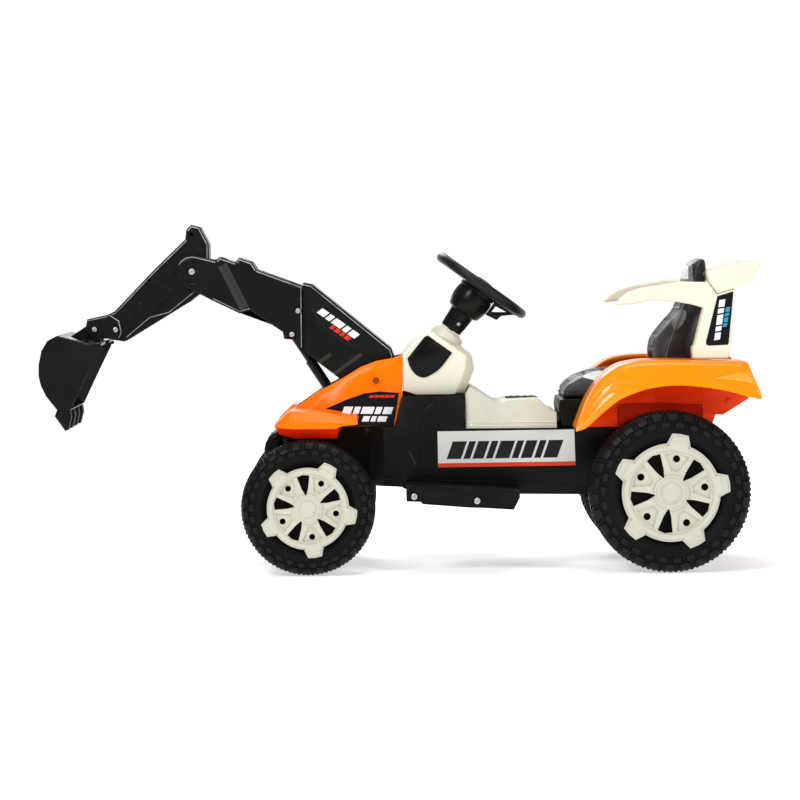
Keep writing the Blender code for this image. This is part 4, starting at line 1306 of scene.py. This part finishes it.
def steering_rim(place):
    """The grip: a ring with three thicker stretches that have finger waves on their inside."""
    major, minor = 0.104, 0.011
    bm = bmesh.new()
    rows = []
    for a in turns(180):
        pad = math.cos(3 * a + math.pi)
        grip = pad**0.3 if pad > 0 else 0.0
        finger = 0.5 + 0.5 * math.cos(60 * a)
        row = []
        for b in turns(20):
            inward = 0.5 - 0.5 * math.cos(b)
            reach = minor * (0.93 + 0.07 * grip - 0.035 * grip * finger * inward)
            out = major + reach * math.cos(b)
            local = Vector((out * math.cos(a), out * math.sin(a), reach * math.sin(b)))
            row.append(bm.verts.new(place @ local))
        rows.append(row)
    join_rows(bm, rows + rows[:1], capped=False)
    as_piece("steering_rim", bm, BODY_OF["steering_wheel"], "black_body", GRIP, 40)


def add_spoke(hub, place, angle):
    """Adds an upper spoke of eight-sided sections to the bmesh."""
    corners = ((1, 0.55), (0.55, 1), (-0.55, 1), (-1, 0.55))
    corners += ((-1, -0.55), (-0.55, -1), (0.55, -1), (1, -0.55))
    rows = []
    for reach, half, low, high in (
        (0.026, 0.015, -0.0105, 0.0045),
        (0.045, 0.0125, -0.011, 0.004),
        (0.07, 0.011, -0.0085, 0.003),
        (0.09, 0.0125, -0.006, 0.0035),
        (0.104, 0.015, -0.005, 0.004),
    ):
        middle, tall = (high + low) / 2, (high - low) / 2
        ring = []
        for u, v in corners:
            local = Vector((reach, half * u, middle + tall * v))
            local.rotate(Matrix.Rotation(angle, 3, "Z"))
            ring.append(place @ local)
        rows.append(ring)
    prism_rows(hub, rows)


def steering_hub(place):
    """The wheel's middle with two upper spokes, and a lower spoke with a window."""
    hub = bmesh.new()
    profile = [(0.0068, -0.0155), (0.0392, -0.0158), (0.0392, -0.0195), (0.0412, -0.0195)]
    profile += [(0.0412, -0.0125), (0.0335, 0.0000)]
    profile += [(0.0325, 0.006), (0.03, 0.0098), (0.026, 0.01), (0.023, 0.0085)]
    profile += [(0.0212, 0.008), (0.0212, -0.0058), (0.0068, -0.0058)]
    add_turned(hub, profile, place, 48)
    for turn in (-1, 1):
        add_spoke(hub, place, math.radians(120 * turn))
    spoke = [(0.024, 0.0), (0.024, -0.015), (0.043, -0.015), (0.043, -0.046), (0.069, -0.042)]
    spoke += [(0.072, -0.029), (0.092, -0.012), (0.104, -0.007), (0.104, 0.003)]
    window = [(0.05, -0.019), (0.05, -0.034), (0.076, -0.016)]
    shapes = []
    for line, half in ((spoke, 0.009), (window, 0.02)):
        shape = bmesh.new()
        prism_rows(shape, [[place @ Vector(p) for p in at_y(line, y)] for y in (-half, half)])
        shapes.append(shape)
    merged(hub, carved(shapes[0], [], shapes[1:]))
    body = BODY_OF["steering_wheel"]
    piece = as_piece("steering_hub", hub, body, "black_body", ARM_BLACK, 40, ["steering_wheel"])
    soften(piece, 0.001, 2, 30)


def horn_cap(place):
    """The domed button in the wheel's middle."""
    button = bmesh.new()
    cap = [(0.02, -0.002), (0.02, 0.0085), (0.019, 0.0105), (0.0165, 0.0122), (0.012, 0.013)]
    cap += [(0.011, 0.0124), (0.0095, 0.013), (0.005, 0.0134), (0.001, 0.0135)]
    add_turned(button, cap, place, 40)
    as_piece("horn_cap", button, BODY_OF["horn_button"], "grey_plastic", GREY, 24, ["horn_button"])


def column_cowl(place):
    """The cowl under the wheel: ribbed lower down, with a screw on each side."""
    cowl = bmesh.new()
    profile = [(0.0082, -0.115), (0.0225, -0.115), (0.024, -0.1135), (0.0255, -0.09)]
    profile += [(0.0268, -0.073), (0.0285, -0.0712), (0.0345, -0.069), (0.0362, -0.0672)]
    profile += [(0.0405, -0.053), (0.0422, -0.0445), (0.042, -0.03), (0.0405, -0.021)]
    profile += [(0.0382, -0.0205), (0.038, -0.017), (0.0082, -0.017)]
    add_turned(cowl, profile, place, 64)
    for k in range(8):
        turn = place @ Matrix.Rotation(math.tau * (k + 0.5) / 8, 4, "Z")
        ends = [turn @ Vector((0.0247, 0, -0.1045)), turn @ Vector((0.0262, 0, -0.076))]
        tube(cowl, ends, 0.0016, 6)
    node = "steering_shroud"
    as_piece("column_cowl", cowl, BODY_OF[node], "black_body", ARM_BLACK, 30, [node])
    screws = bmesh.new()
    for side in (-1, 1):
        out = Vector((0.28, side * 0.96, 0)).normalized()
        at = place @ (out * 0.025 + Vector((0, 0, -0.096)))
        way = (place.to_3x3() @ out).to_track_quat("Z", "Y").to_matrix().to_4x4()
        merged(screws, pan_head(0.0042, 0.0022), Matrix.Translation(at) @ way)
    as_piece("cowl_screws", screws, BODY_OF[node], "steel_parts", STEEL, 40)


def steering():
    """The steering wheel, its horn button and the cowl."""
    place = column()
    steering_rim(place)
    steering_hub(place)
    horn_cap(place)
    column_cowl(place)


# ---------------------------------------------------------------- padded seat

SEAT_PROFILE = [(349, 357), (347, 366), (352, 378), (365, 390), (387, 400), (418, 408), (452, 413)]
SEAT_PROFILE += [(490, 418), (527, 419), (529, 412), (529, 362), (524, 357)]
BACK_STATIONS = (  # z, front x, rear x, half width
    (0.435, 0.538, 0.632, 0.112),
    (0.45, 0.538, 0.634, 0.116),
    (0.478, 0.546, 0.637, 0.117),
    (0.504, 0.566, 0.641, 0.116),
    (0.536, 0.594, 0.648, 0.112),
    (0.561, 0.605, 0.652, 0.101),
    (0.59, 0.612, 0.656, 0.085),
    (0.612, 0.619, 0.657, 0.078),
    (0.632, 0.623, 0.6575, 0.071),
    (0.645, 0.629, 0.6575, 0.063),
    (0.656, 0.641, 0.6575, 0.054),
)
SIDE_SEAM = ((0.43, 0.568), (0.4497, 0.57), (0.4714, 0.576), (0.4962, 0.5855), (0.53, 0.6))  # z, x
SIDE_SEAM += ((0.6, 0.625), (0.66, 0.632))
BOLSTER_SEAM = 0.064  # |y| of the seam between the cushion's middle and its bolsters
HEADREST_LOW = 0.6005  # z of the groove under the headrest
HEADREST_REAR = 0.6305  # x of the seam down the headrest's sides


def blown_up(bm, voxel, cap):
    """The closed form as a mesh that a cloth simulation has filled with air, smoothed once."""
    thing = helper(bm)
    remesh = thing.modifiers.new("remesh", "REMESH")
    remesh.mode = "VOXEL"
    remesh.voxel_size = voxel
    baked(thing)
    start = [vert.co.copy() for vert in thing.data.vertices]
    cloth = thing.modifiers.new("cloth", "CLOTH")
    cloth.settings.quality = 4
    cloth.settings.use_pressure = True
    cloth.settings.uniform_pressure_force = 4
    cloth.settings.effector_weights.gravity = 0
    scene = bpy.context.scene
    for step in range(1, 21):
        scene.frame_set(step)
    graph = bpy.context.evaluated_depsgraph_get()
    swollen = thing.evaluated_get(graph).to_mesh()
    moved = [vert.co.copy() for vert in swollen.vertices]
    thing.evaluated_get(graph).to_mesh_clear()
    thing.modifiers.clear()
    for vert, old, new in zip(thing.data.vertices, start, moved):
        step = new - old
        if step.length > cap:
            step *= cap / step.length
        vert.co = old + step
    scene.frame_set(1)
    smooth = thing.modifiers.new("smooth", "SMOOTH")
    smooth.factor = 0.6
    smooth.iterations = 3
    finer = thing.modifiers.new("finer", "SUBSURF")
    finer.levels = finer.render_levels = 1
    baked(thing)
    grown = bmesh.new()
    grown.from_mesh(thing.data)
    mesh = thing.data
    bpy.data.objects.remove(thing)
    bpy.data.meshes.remove(mesh)
    return grown


def groove(bm, distance, width, depth, where):
    """Pulls a seam into the cloth where distance(point) is near 0."""
    bm.normal_update()
    for vert in bm.verts:
        if not where(vert.co, vert.normal):
            continue
        gap = distance(vert.co)
        if abs(gap) < width * 3:
            vert.co -= vert.normal * depth * math.exp(-((gap / width) ** 2))


def stitches(bm, line, normal):
    """Adds a row of thread stitches that follow a line of points to the bmesh."""
    length, gap, radius, lift = 0.0055, 0.0035, 0.00055, 0.0003
    total, at = 0.0, []
    for a, b in zip(line, line[1:]):
        at.append((total, a, b))
        total += (b - a).length

    def along(s):
        for begin, a, b in reversed(at):
            if s >= begin:
                return a.lerp(b, min(1.0, (s - begin) / max(1e-9, (b - a).length)))
        return line[0].copy()

    s = gap
    while s + length < total:
        points = [along(s + length * k / 3) for k in range(4)]
        for k, point in enumerate(points):
            point += normal * (lift if k in (1, 2) else -lift)
        tube(bm, points, radius, 5)
        s += length + gap


def padded_prism(bm, outline, stations):
    """Adds a prism of an outline in millimetres, drawn in at each (y, draw) station."""
    prism_rows(bm, [at_y(mm(shrunk(outline, draw)), y) for y, draw in stations])


def seat_plinth():
    """The hard base under the cushion."""
    plinth = bmesh.new()
    base = [(346, 299), (341, 340), (344, 357), (352, 358.5), (392, 358.5), (392, 332), (392, 299)]
    padded_prism(plinth, base, ((-0.119, 3), (-0.116, 0), (0.116, 0), (0.119, 3)))
    tray = [(390, 334.5), (390, 357.5), (529, 357.5), (529, 334.5)]
    padded_prism(plinth, tray, ((-0.117, 0), (0.117, 0)))
    soften(as_piece("seat_plinth", plinth, "chassis", "seat_leather", BLACK, 60), 0.004, 3, 30)


def seat_badge(pad, word, side):
    """A small domed patch on one of the cushion's bolsters."""
    x0, y0 = 0.416, side * 0.0995
    badge = []
    for a in turns(28):
        stretch = 1 + 0.25 * math.cos(a)
        badge.append((x0 + 0.022 * math.cos(a), side * (0.0995 + 0.0105 * stretch * math.sin(a))))
    bead = surface_line(pad, badge)
    centre = surface_line(pad, [(x0, y0)])[0]
    low = [point - Vector((0, 0, 0.0015)) for point in bead]
    top = [point + Vector((0, 0, 0.0016)) for point in bead]
    crown = [point.lerp(centre, 0.35) + Vector((0, 0, 0.003)) for point in bead]
    patch = bmesh.new()
    prism_rows(patch, [low, top, crown])
    as_piece(f"seat_badge_{word}", patch, "chassis", "grey_plastic", WHITE_LEATHER, 50)


def seat_pad():
    """The cushion: a blown-up pad with bolsters and three cross channels."""
    form = bmesh.new()
    ends = ((-0.113, 9), (-0.11, 4), (-0.1, 0), (0.1, 0), (0.11, 4), (0.113, 9))
    padded_prism(form, SEAT_PROFILE, ends)
    bm = blown_up(form, 0.005, 0.006)
    for vert in bm.verts:  # a hollow between the bolsters, and a flat underside
        if vert.co.z > 0.375:
            hollow = math.exp(-((vert.co.y / 0.055) ** 4)) * smooth_step(0.365, 0.42, vert.co.x)
            vert.co.z -= 0.006 * hollow
        vert.co.z = max(vert.co.z, 0.3575)
        vert.co.x = min(vert.co.x, 0.5325)

    def on_top(point, normal):
        return normal.z > 0.1 or normal.x < -0.3

    def between_bolsters(point, normal):
        return normal.z > 0.3 and abs(point.y) < BOLSTER_SEAM - 0.002

    groove(bm, lambda p: abs(p.y) - BOLSTER_SEAM, 0.0028, 0.0042, on_top)
    for x in (0.405, 0.447, 0.489):
        groove(bm, lambda p, x=x: p.x - x, 0.003, 0.0036, between_bolsters)
    groove(bm, lambda p: p.z - 0.372, 0.0022, 0.0026, lambda p, n: abs(n.z) < 0.6)
    mats = [LEATHER, SOFT_LEATHER]
    pad = as_piece("seat_pad", bm, "chassis", "seat_leather", mats, 60, ["seat_cushion"])
    for face in pad.data.polygons:
        centre = face.center
        if centre.z > 0.3725 and (abs(centre.y) > BOLSTER_SEAM or centre.x < 0.405):
            face.material_index = 1
    seat_plinth()
    thread = bmesh.new()
    for word, side in SIDES:
        for offset in (-0.0052, 0.0052):
            y = side * (BOLSTER_SEAM + offset)
            line = surface_line(pad, [(x / 1000, y) for x in range(372, 522, 6)])
            stitches(thread, line, Vector((0, 0, 1)))
        seat_badge(pad, word, side)
    as_piece("seat_stitching", thread, "chassis", "grey_plastic", THREAD, 60)


def side_seam(point):
    """A point's distance behind the seam that runs down each side of the backrest."""
    return point.x - blend_between(SIDE_SEAM, point.z)[0]


def shoulder(point):
    """A point's distance outside the seam between the middle and the side wings."""
    return abs(point.y) - (0.068 - 0.1 * max(0.0, point.z - 0.545))


def backrest_form():
    """The backrest's blown-up shape, dished in the middle, with its seams pulled in."""
    bottom, top = BACK_STATIONS[0][0], BACK_STATIONS[-1][0]
    rows = []
    for i in range(31):
        z = bottom + (top - bottom) * i / 30
        rows.append(ring_of(z, *blend_between(BACK_STATIONS, z), 48, 3.4))
    form = bmesh.new()
    prism_rows(form, rows)
    bm = blown_up(form, 0.005, 0.005)
    for vert in bm.verts:
        x0 = blend_between(BACK_STATIONS, vert.co.z)[0]
        if vert.co.x < x0 + 0.02 and vert.co.z < 0.6:
            dish = math.exp(-((vert.co.y / 0.06) ** 4)) * smooth_step(0.6, 0.56, vert.co.z)
            vert.co.x += 0.008 * dish

    def wings(p, n):
        return n.x < -0.2 and p.z < 0.6

    def middle(p, n):
        return n.x < -0.2 and shoulder(p) < 0

    def flanks(p, n):
        return abs(n.y) > 0.35 and p.z < 0.6

    def headrest_flanks(p, n):
        return abs(n.y) > 0.35 and p.z > 0.603

    groove(bm, shoulder, 0.0028, 0.0042, wings)
    for z in (0.462, 0.492, 0.522, 0.552, 0.578):
        groove(bm, lambda p, z=z: p.z - z, 0.003, 0.0034, middle)
    groove(bm, lambda p: p.z - HEADREST_LOW, 0.0028, 0.0045, lambda p, n: True)
    groove(bm, side_seam, 0.0018, 0.003, flanks)
    groove(bm, lambda p: p.x - HEADREST_REAR, 0.0018, 0.0026, headrest_flanks)
    return bm


def seat_backrest():
    """The backrest: side wings, a channelled middle, a headrest and piping."""
    mats = [LEATHER, SOFT_LEATHER, GREY_LEATHER, WHITE_LEATHER]
    form = backrest_form()
    back = as_piece("seat_backrest", form, "chassis", "seat_leather", mats, 60, ["seat_back"])
    patch = [(0.588, 0.5395), (0.601, 0.5457), (0.6134, 0.5426), (0.6118, 0.5287)]
    patch += [(0.6056, 0.5147), (0.5865, 0.4985), (0.584, 0.515)]
    for face in back.data.polygons:
        centre, normal = face.center, face.normal
        if abs(centre.y) > 0.06 and abs(normal.y) > 0.3 and inside((centre.x, centre.z), patch):
            face.material_index = 2
        elif centre.z < HEADREST_LOW and side_seam(centre) < 0 and abs(centre.y) > 0.068:
            face.material_index = 1
        elif centre.z > HEADREST_LOW and centre.x < HEADREST_REAR:
            face.material_index = 3 if 0.609 < centre.z < 0.64 and centre.x < 0.622 else 2
    piping = bmesh.new()
    tree = tree_of_piece(back)
    for side in (-1, 1):
        line = []
        for z in (0.44 + 0.158 * k / 33 for k in range(34)):
            start = Vector((blend_between(SIDE_SEAM, z)[0], side * 0.2, z))
            hit = tree.ray_cast(start, Vector((0, -side, 0)))[0]
            if hit is not None:
                line.append(hit + Vector((0, side * 0.0006, 0)))
        tube(piping, line, 0.0014, 8)
    as_piece("backrest_piping", piping, "chassis", "grey_plastic", GREY_LEATHER, 60)


# ---------------------------------------------------------------- rear of the body


def fender_lines():
    """The rear mudguard's crest and the edge of its wheel arch, as points on smooth curves."""
    crest = ((0.37, 0.306), (0.391, 0.359), (0.416, 0.399), (0.436, 0.419), (0.463, 0.435))
    crest += ((0.496, 0.442), (0.528, 0.444), (0.575, 0.444), (0.616, 0.443), (0.656, 0.4415))
    crest += ((0.695, 0.4405), (0.727, 0.438), (0.738, 0.418), (0.745, 0.402), (0.756, 0.376))
    arch = ((0.37, 0.297), (0.391, 0.304), (0.416, 0.326), (0.436, 0.343), (0.463, 0.363))
    arch += ((0.496, 0.377), (0.528, 0.386), (0.575, 0.391), (0.616, 0.389), (0.656, 0.384))
    arch += ((0.695, 0.376), (0.727, 0.366), (0.738, 0.364), (0.745, 0.362), (0.756, 0.361))
    return flat_curve(crest, 6), flat_curve(arch, 6)


def fender_section(x, crest, foot, side):
    """The mudguard's section at x: outer and inner points, from its inner edge to the arch."""
    inmost, bend, flank, outmost = 0.1272, 0.218, 0.2485, 0.252
    drop, thick = crest - foot, 0.0045
    outer, inner = [], []
    for t in (k / 22 for k in range(23)):
        if t < 0.3:
            y, z = inmost + (bend - inmost) * t / 0.3, crest
        elif t < 0.55:
            a = (t - 0.3) / 0.25 * math.pi / 2
            y, z = bend + (flank - bend) * math.sin(a), crest - 0.3 * drop * (1 - math.cos(a))
        else:
            s = (t - 0.55) / 0.45
            y, z = flank + 0.003 * s, crest - drop * (0.3 + 0.7 * s)
        down = (crest - z) / max(drop, 1e-6)
        if 0.372 < x < 0.5:  # flutes that fade out towards the rear
            fade = smooth_step(0.372, 0.392, x) * smooth_step(0.5, 0.43, x)
            wave = math.sin(math.tau * (down - 0.1) * 3.2)
            y += 0.0022 * fade * wave * smooth_step(0.05, 0.3, down)
        outer.append((x, side * min(y, outmost), z))
        y = max(inmost, y - thick * smooth_step(0.2, 0.5, t))
        inner.append((x, side * y, z - thick * smooth_step(0.75, 0.45, t)))
    return outer, inner


def fender(word, side):
    """A thin rear mudguard: a flat top that rolls over to a fluted flank, with a paler patch near its rear painted
    as a highlight.
    """
    bm = bmesh.new()
    out, into = [], []
    for (x, crest), (_, foot) in zip(*fender_lines()):
        outer, inner = fender_section(x, crest, foot, side)
        out.append([bm.verts.new(p) for p in outer])
        into.append([bm.verts.new(p) for p in inner])
    rims = [[(o[end], i[end]) for o, i in zip(out, into)] for end in (0, -1)]
    ends = [list(zip(out[end], into[end])) for end in (0, -1)]
    for rows in (out, into, *rims, *ends):
        join_rows(bm, rows, closed=False, capped=False)
    bmesh.ops.remove_doubles(bm, verts=bm.verts, dist=2e-5)
    node = f"rear_fender_{word}"
    as_piece(f"{node}_shape", bm, "chassis", "orange_body", AMBER, 40, [node])
    # A paler orange patch on the mudguard's rear: a painted highlight.
    facet = [(0.652, 0.4045), (0.7, 0.4155), (0.733, 0.4225), (0.737, 0.419)]
    facet += [(0.743, 0.396), (0.74, 0.393), (0.7, 0.4005)]
    look = (0.001, HIGHLIGHT_ORANGE, "chassis", "orange_body", 0.006)
    skin(f"fender_highlight_{word}", facet, side, 0.265, [node], *look)


def armrest(word, side):
    """A pale armrest with its pillar's stickers, a seam and a ridge."""
    node = f"armrest_{word}"
    rounded(node, 0.0042, IVORY, 4, 25)
    low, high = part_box(node)
    outer = high[1] if side > 0 else -low[1]
    where = (side, outer + 0.02, [node])
    panel = [(0.668, 0.575), (0.7015, 0.585), (0.6912, 0.477), (0.6888, 0.4735), (0.65, 0.472)]
    panel += [(0.645, 0.474), (0.6435, 0.479)]
    look = ("chassis", "gloss_black_trim")
    skin(f"pillar_sticker_{word}", panel, *where, 0.0008, BLACK_INK, *look, 0.02, 0.0012)
    white = slanted((0.673, 0.485), (0.6845, 0.568), 0.012, (1.1, 0.7, 1.5, 0.7, 1.1), -0.3)
    stickers(f"pillar_bars_{word}", white, *where, 0.0012, WHITE_INK, *look)
    blue = slanted((0.6875, 0.512), (0.6945, 0.552), 0.0085, (0.7, 1, 0.7, 1), -0.3)
    stickers(f"pillar_blue_bars_{word}", blue, *where, 0.0012, BLUE_INK, *look)
    trim = bmesh.new()
    seam = [(0.6385, 0.55), (0.654, 0.57), (0.658, 0.596)]
    tube(trim, at_y(seam, side * (outer - 0.0003)), 0.0009, 6)
    ridge = [(0.482, 0.571), (0.52, 0.579), (0.57, 0.584), (0.625, 0.583)]
    tube(trim, at_y(flat_curve(ridge, 6), side * (outer - 0.0004)), 0.0012, 8)
    as_piece(f"armrest_trim_{word}", trim, "chassis", "cream_trim", IVORY, 30)


def apron(word, side):
    """The plate that closes the front of the gap between a mudguard and the body."""
    outline = [(0.384, 0.3005), (0.4, 0.324), (0.425, 0.346), (0.455, 0.364), (0.5, 0.379)]
    outline += [(0.545, 0.384), (0.545, 0.3005)]
    plate = flat_ring(outline, *sorted((0.12 * side, 0.1262 * side)))
    soften(as_piece(f"fender_apron_{word}", plate, "chassis", "orange_body", SHADED_RED_ORANGE, 50), 0.002, 3, 30)


def arch_shade_sheet(word, side):
    """A dark red sheet on the body, deep inside a rear wheel arch: painted shade."""
    outline = [(0.464, 0.347), (0.5, 0.35), (0.56, 0.35), (0.645, 0.345)]
    outline += [(0.645, 0.303), (0.464, 0.303)]
    look = (0.0016, ARCH_SHADE_RED, "chassis", "orange_body", 0.02, 0.0016)
    skin(f"arch_shade_sheet_{word}", outline, side, 0.15, ["rear_body"], *look)


def rear():
    """Everything behind the seat: mudguards, armrests, wing, body and the headrest's pegs."""
    for word, side in SIDES:
        fender(word, side)
        armrest(word, side)
    for word, side in SIDES:
        apron(word, side)
    rounded("rear_wing", 0.0035, IVORY, 3, 25)
    # The body in red-orange: painted shade inside the mudguards.
    rounded("rear_body", 0.003, SHADED_RED_ORANGE)
    for word, side in SIDES:
        arch_shade_sheet(word, side)
    trim = bmesh.new()
    pegs = bmesh.new()
    boss = [(0.006, 0), (0.006, 0.003), (0.0045, 0.0042)]
    peg = [(0.005, -0.008), (0.006, -0.006), (0.006, 0.003), (0.0045, 0.004)]
    for side in (-1, 1):
        for line in ([(0.646, 0.305), (0.646, 0.385)], [(0.54, 0.345), (0.646, 0.352)]):
            tube(trim, at_y(line, side * 0.126), 0.0012, 6)
        add_turned(trim, boss, facing((0.7, 0.352), 0.1255, side), 20)
        spot = Matrix.Translation((0.6555, side * 0.06, 0.618))
        add_turned(pegs, peg, spot @ Matrix.Rotation(math.pi / 2, 4, "Y"), 20)
    as_piece("rear_body_beads", trim, "chassis", "deep_orange_body", SHADED_RED_ORANGE, 30)
    as_piece("headrest_pegs", pegs, "chassis", "grey_plastic", GREY, 30)


def steps():
    """The foot steps: cross treads, shorter beside the pedal, and lines along the lip."""
    top = ((0.02, 0.18886), (0.046, 0.187), (0.051, 0.187), (0.149, 0.181), (0.18, 0.179))
    top += ((0.24, 0.175),)
    edge = [(0.019, 0.156), (0.047, 0.155), (0.053, 0.15), (0.15, 0.142), (0.238, 0.137)]
    rise = [(0.05, 0.185), (0.05, 0.152)]
    for word, side in SIDES:
        rounded(f"foot_step_{word}", 0.0018, BLACK)
        treads = bmesh.new()
        x = 0.03
        while x < 0.236:
            z = blend_between(top, x)[0]
            outer_y = 0.15 if side > 0 and 0.055 < x < 0.145 else 0.2385
            tube(treads, [(x, side * 0.145, z), (x, side * outer_y, z)], 0.0016, 8, 0.9)
            x += 0.0085
        as_piece(f"step_treads_{word}", treads, "chassis", "black_body", BLACK, 40)
        lip = bmesh.new()
        tube(lip, at_y(edge, side * 0.2448), 0.0014, 8)
        tube(lip, at_y(rise, side * 0.2448), 0.001, 8)
        as_piece(f"step_lip_{word}", lip, "chassis", "black_body", BLACK, 40)


# ---------------------------------------------------------------- the whole toy

ROUNDING = {
    "accelerator_pedal": 0.002,
    "battery": 0.003,
    "control_box": 0.002,
    "front_axle_bracket": 0.001,
    "knuckle_left": 0.0008,
    "knuckle_right": 0.0008,
    "tie_rod": 0.0008,
    "rear_axle": 0.0008,
    "gear_motor_left": 0.003,
    "gear_motor_right": 0.003,
    "steering_shaft": 0.0008,
    "boom_pedestal": 0.0012,
}

place_camera()
place_lights()
place_floor()
bpy.context.scene.view_settings.view_transform = "Standard"
for node, width in ROUNDING.items():
    rounded(node, width)
wheels()
arm()
fasteners()
bonnet()
tub()
console()
cover()
steering()
seat_pad()
seat_backrest()
rear()
steps()
for node, thing in NODES.items():
    if not thing.hide_render:
        thing.data.materials.clear()
        thing.data.materials.append(FINISH[SLOT_OF[node]])
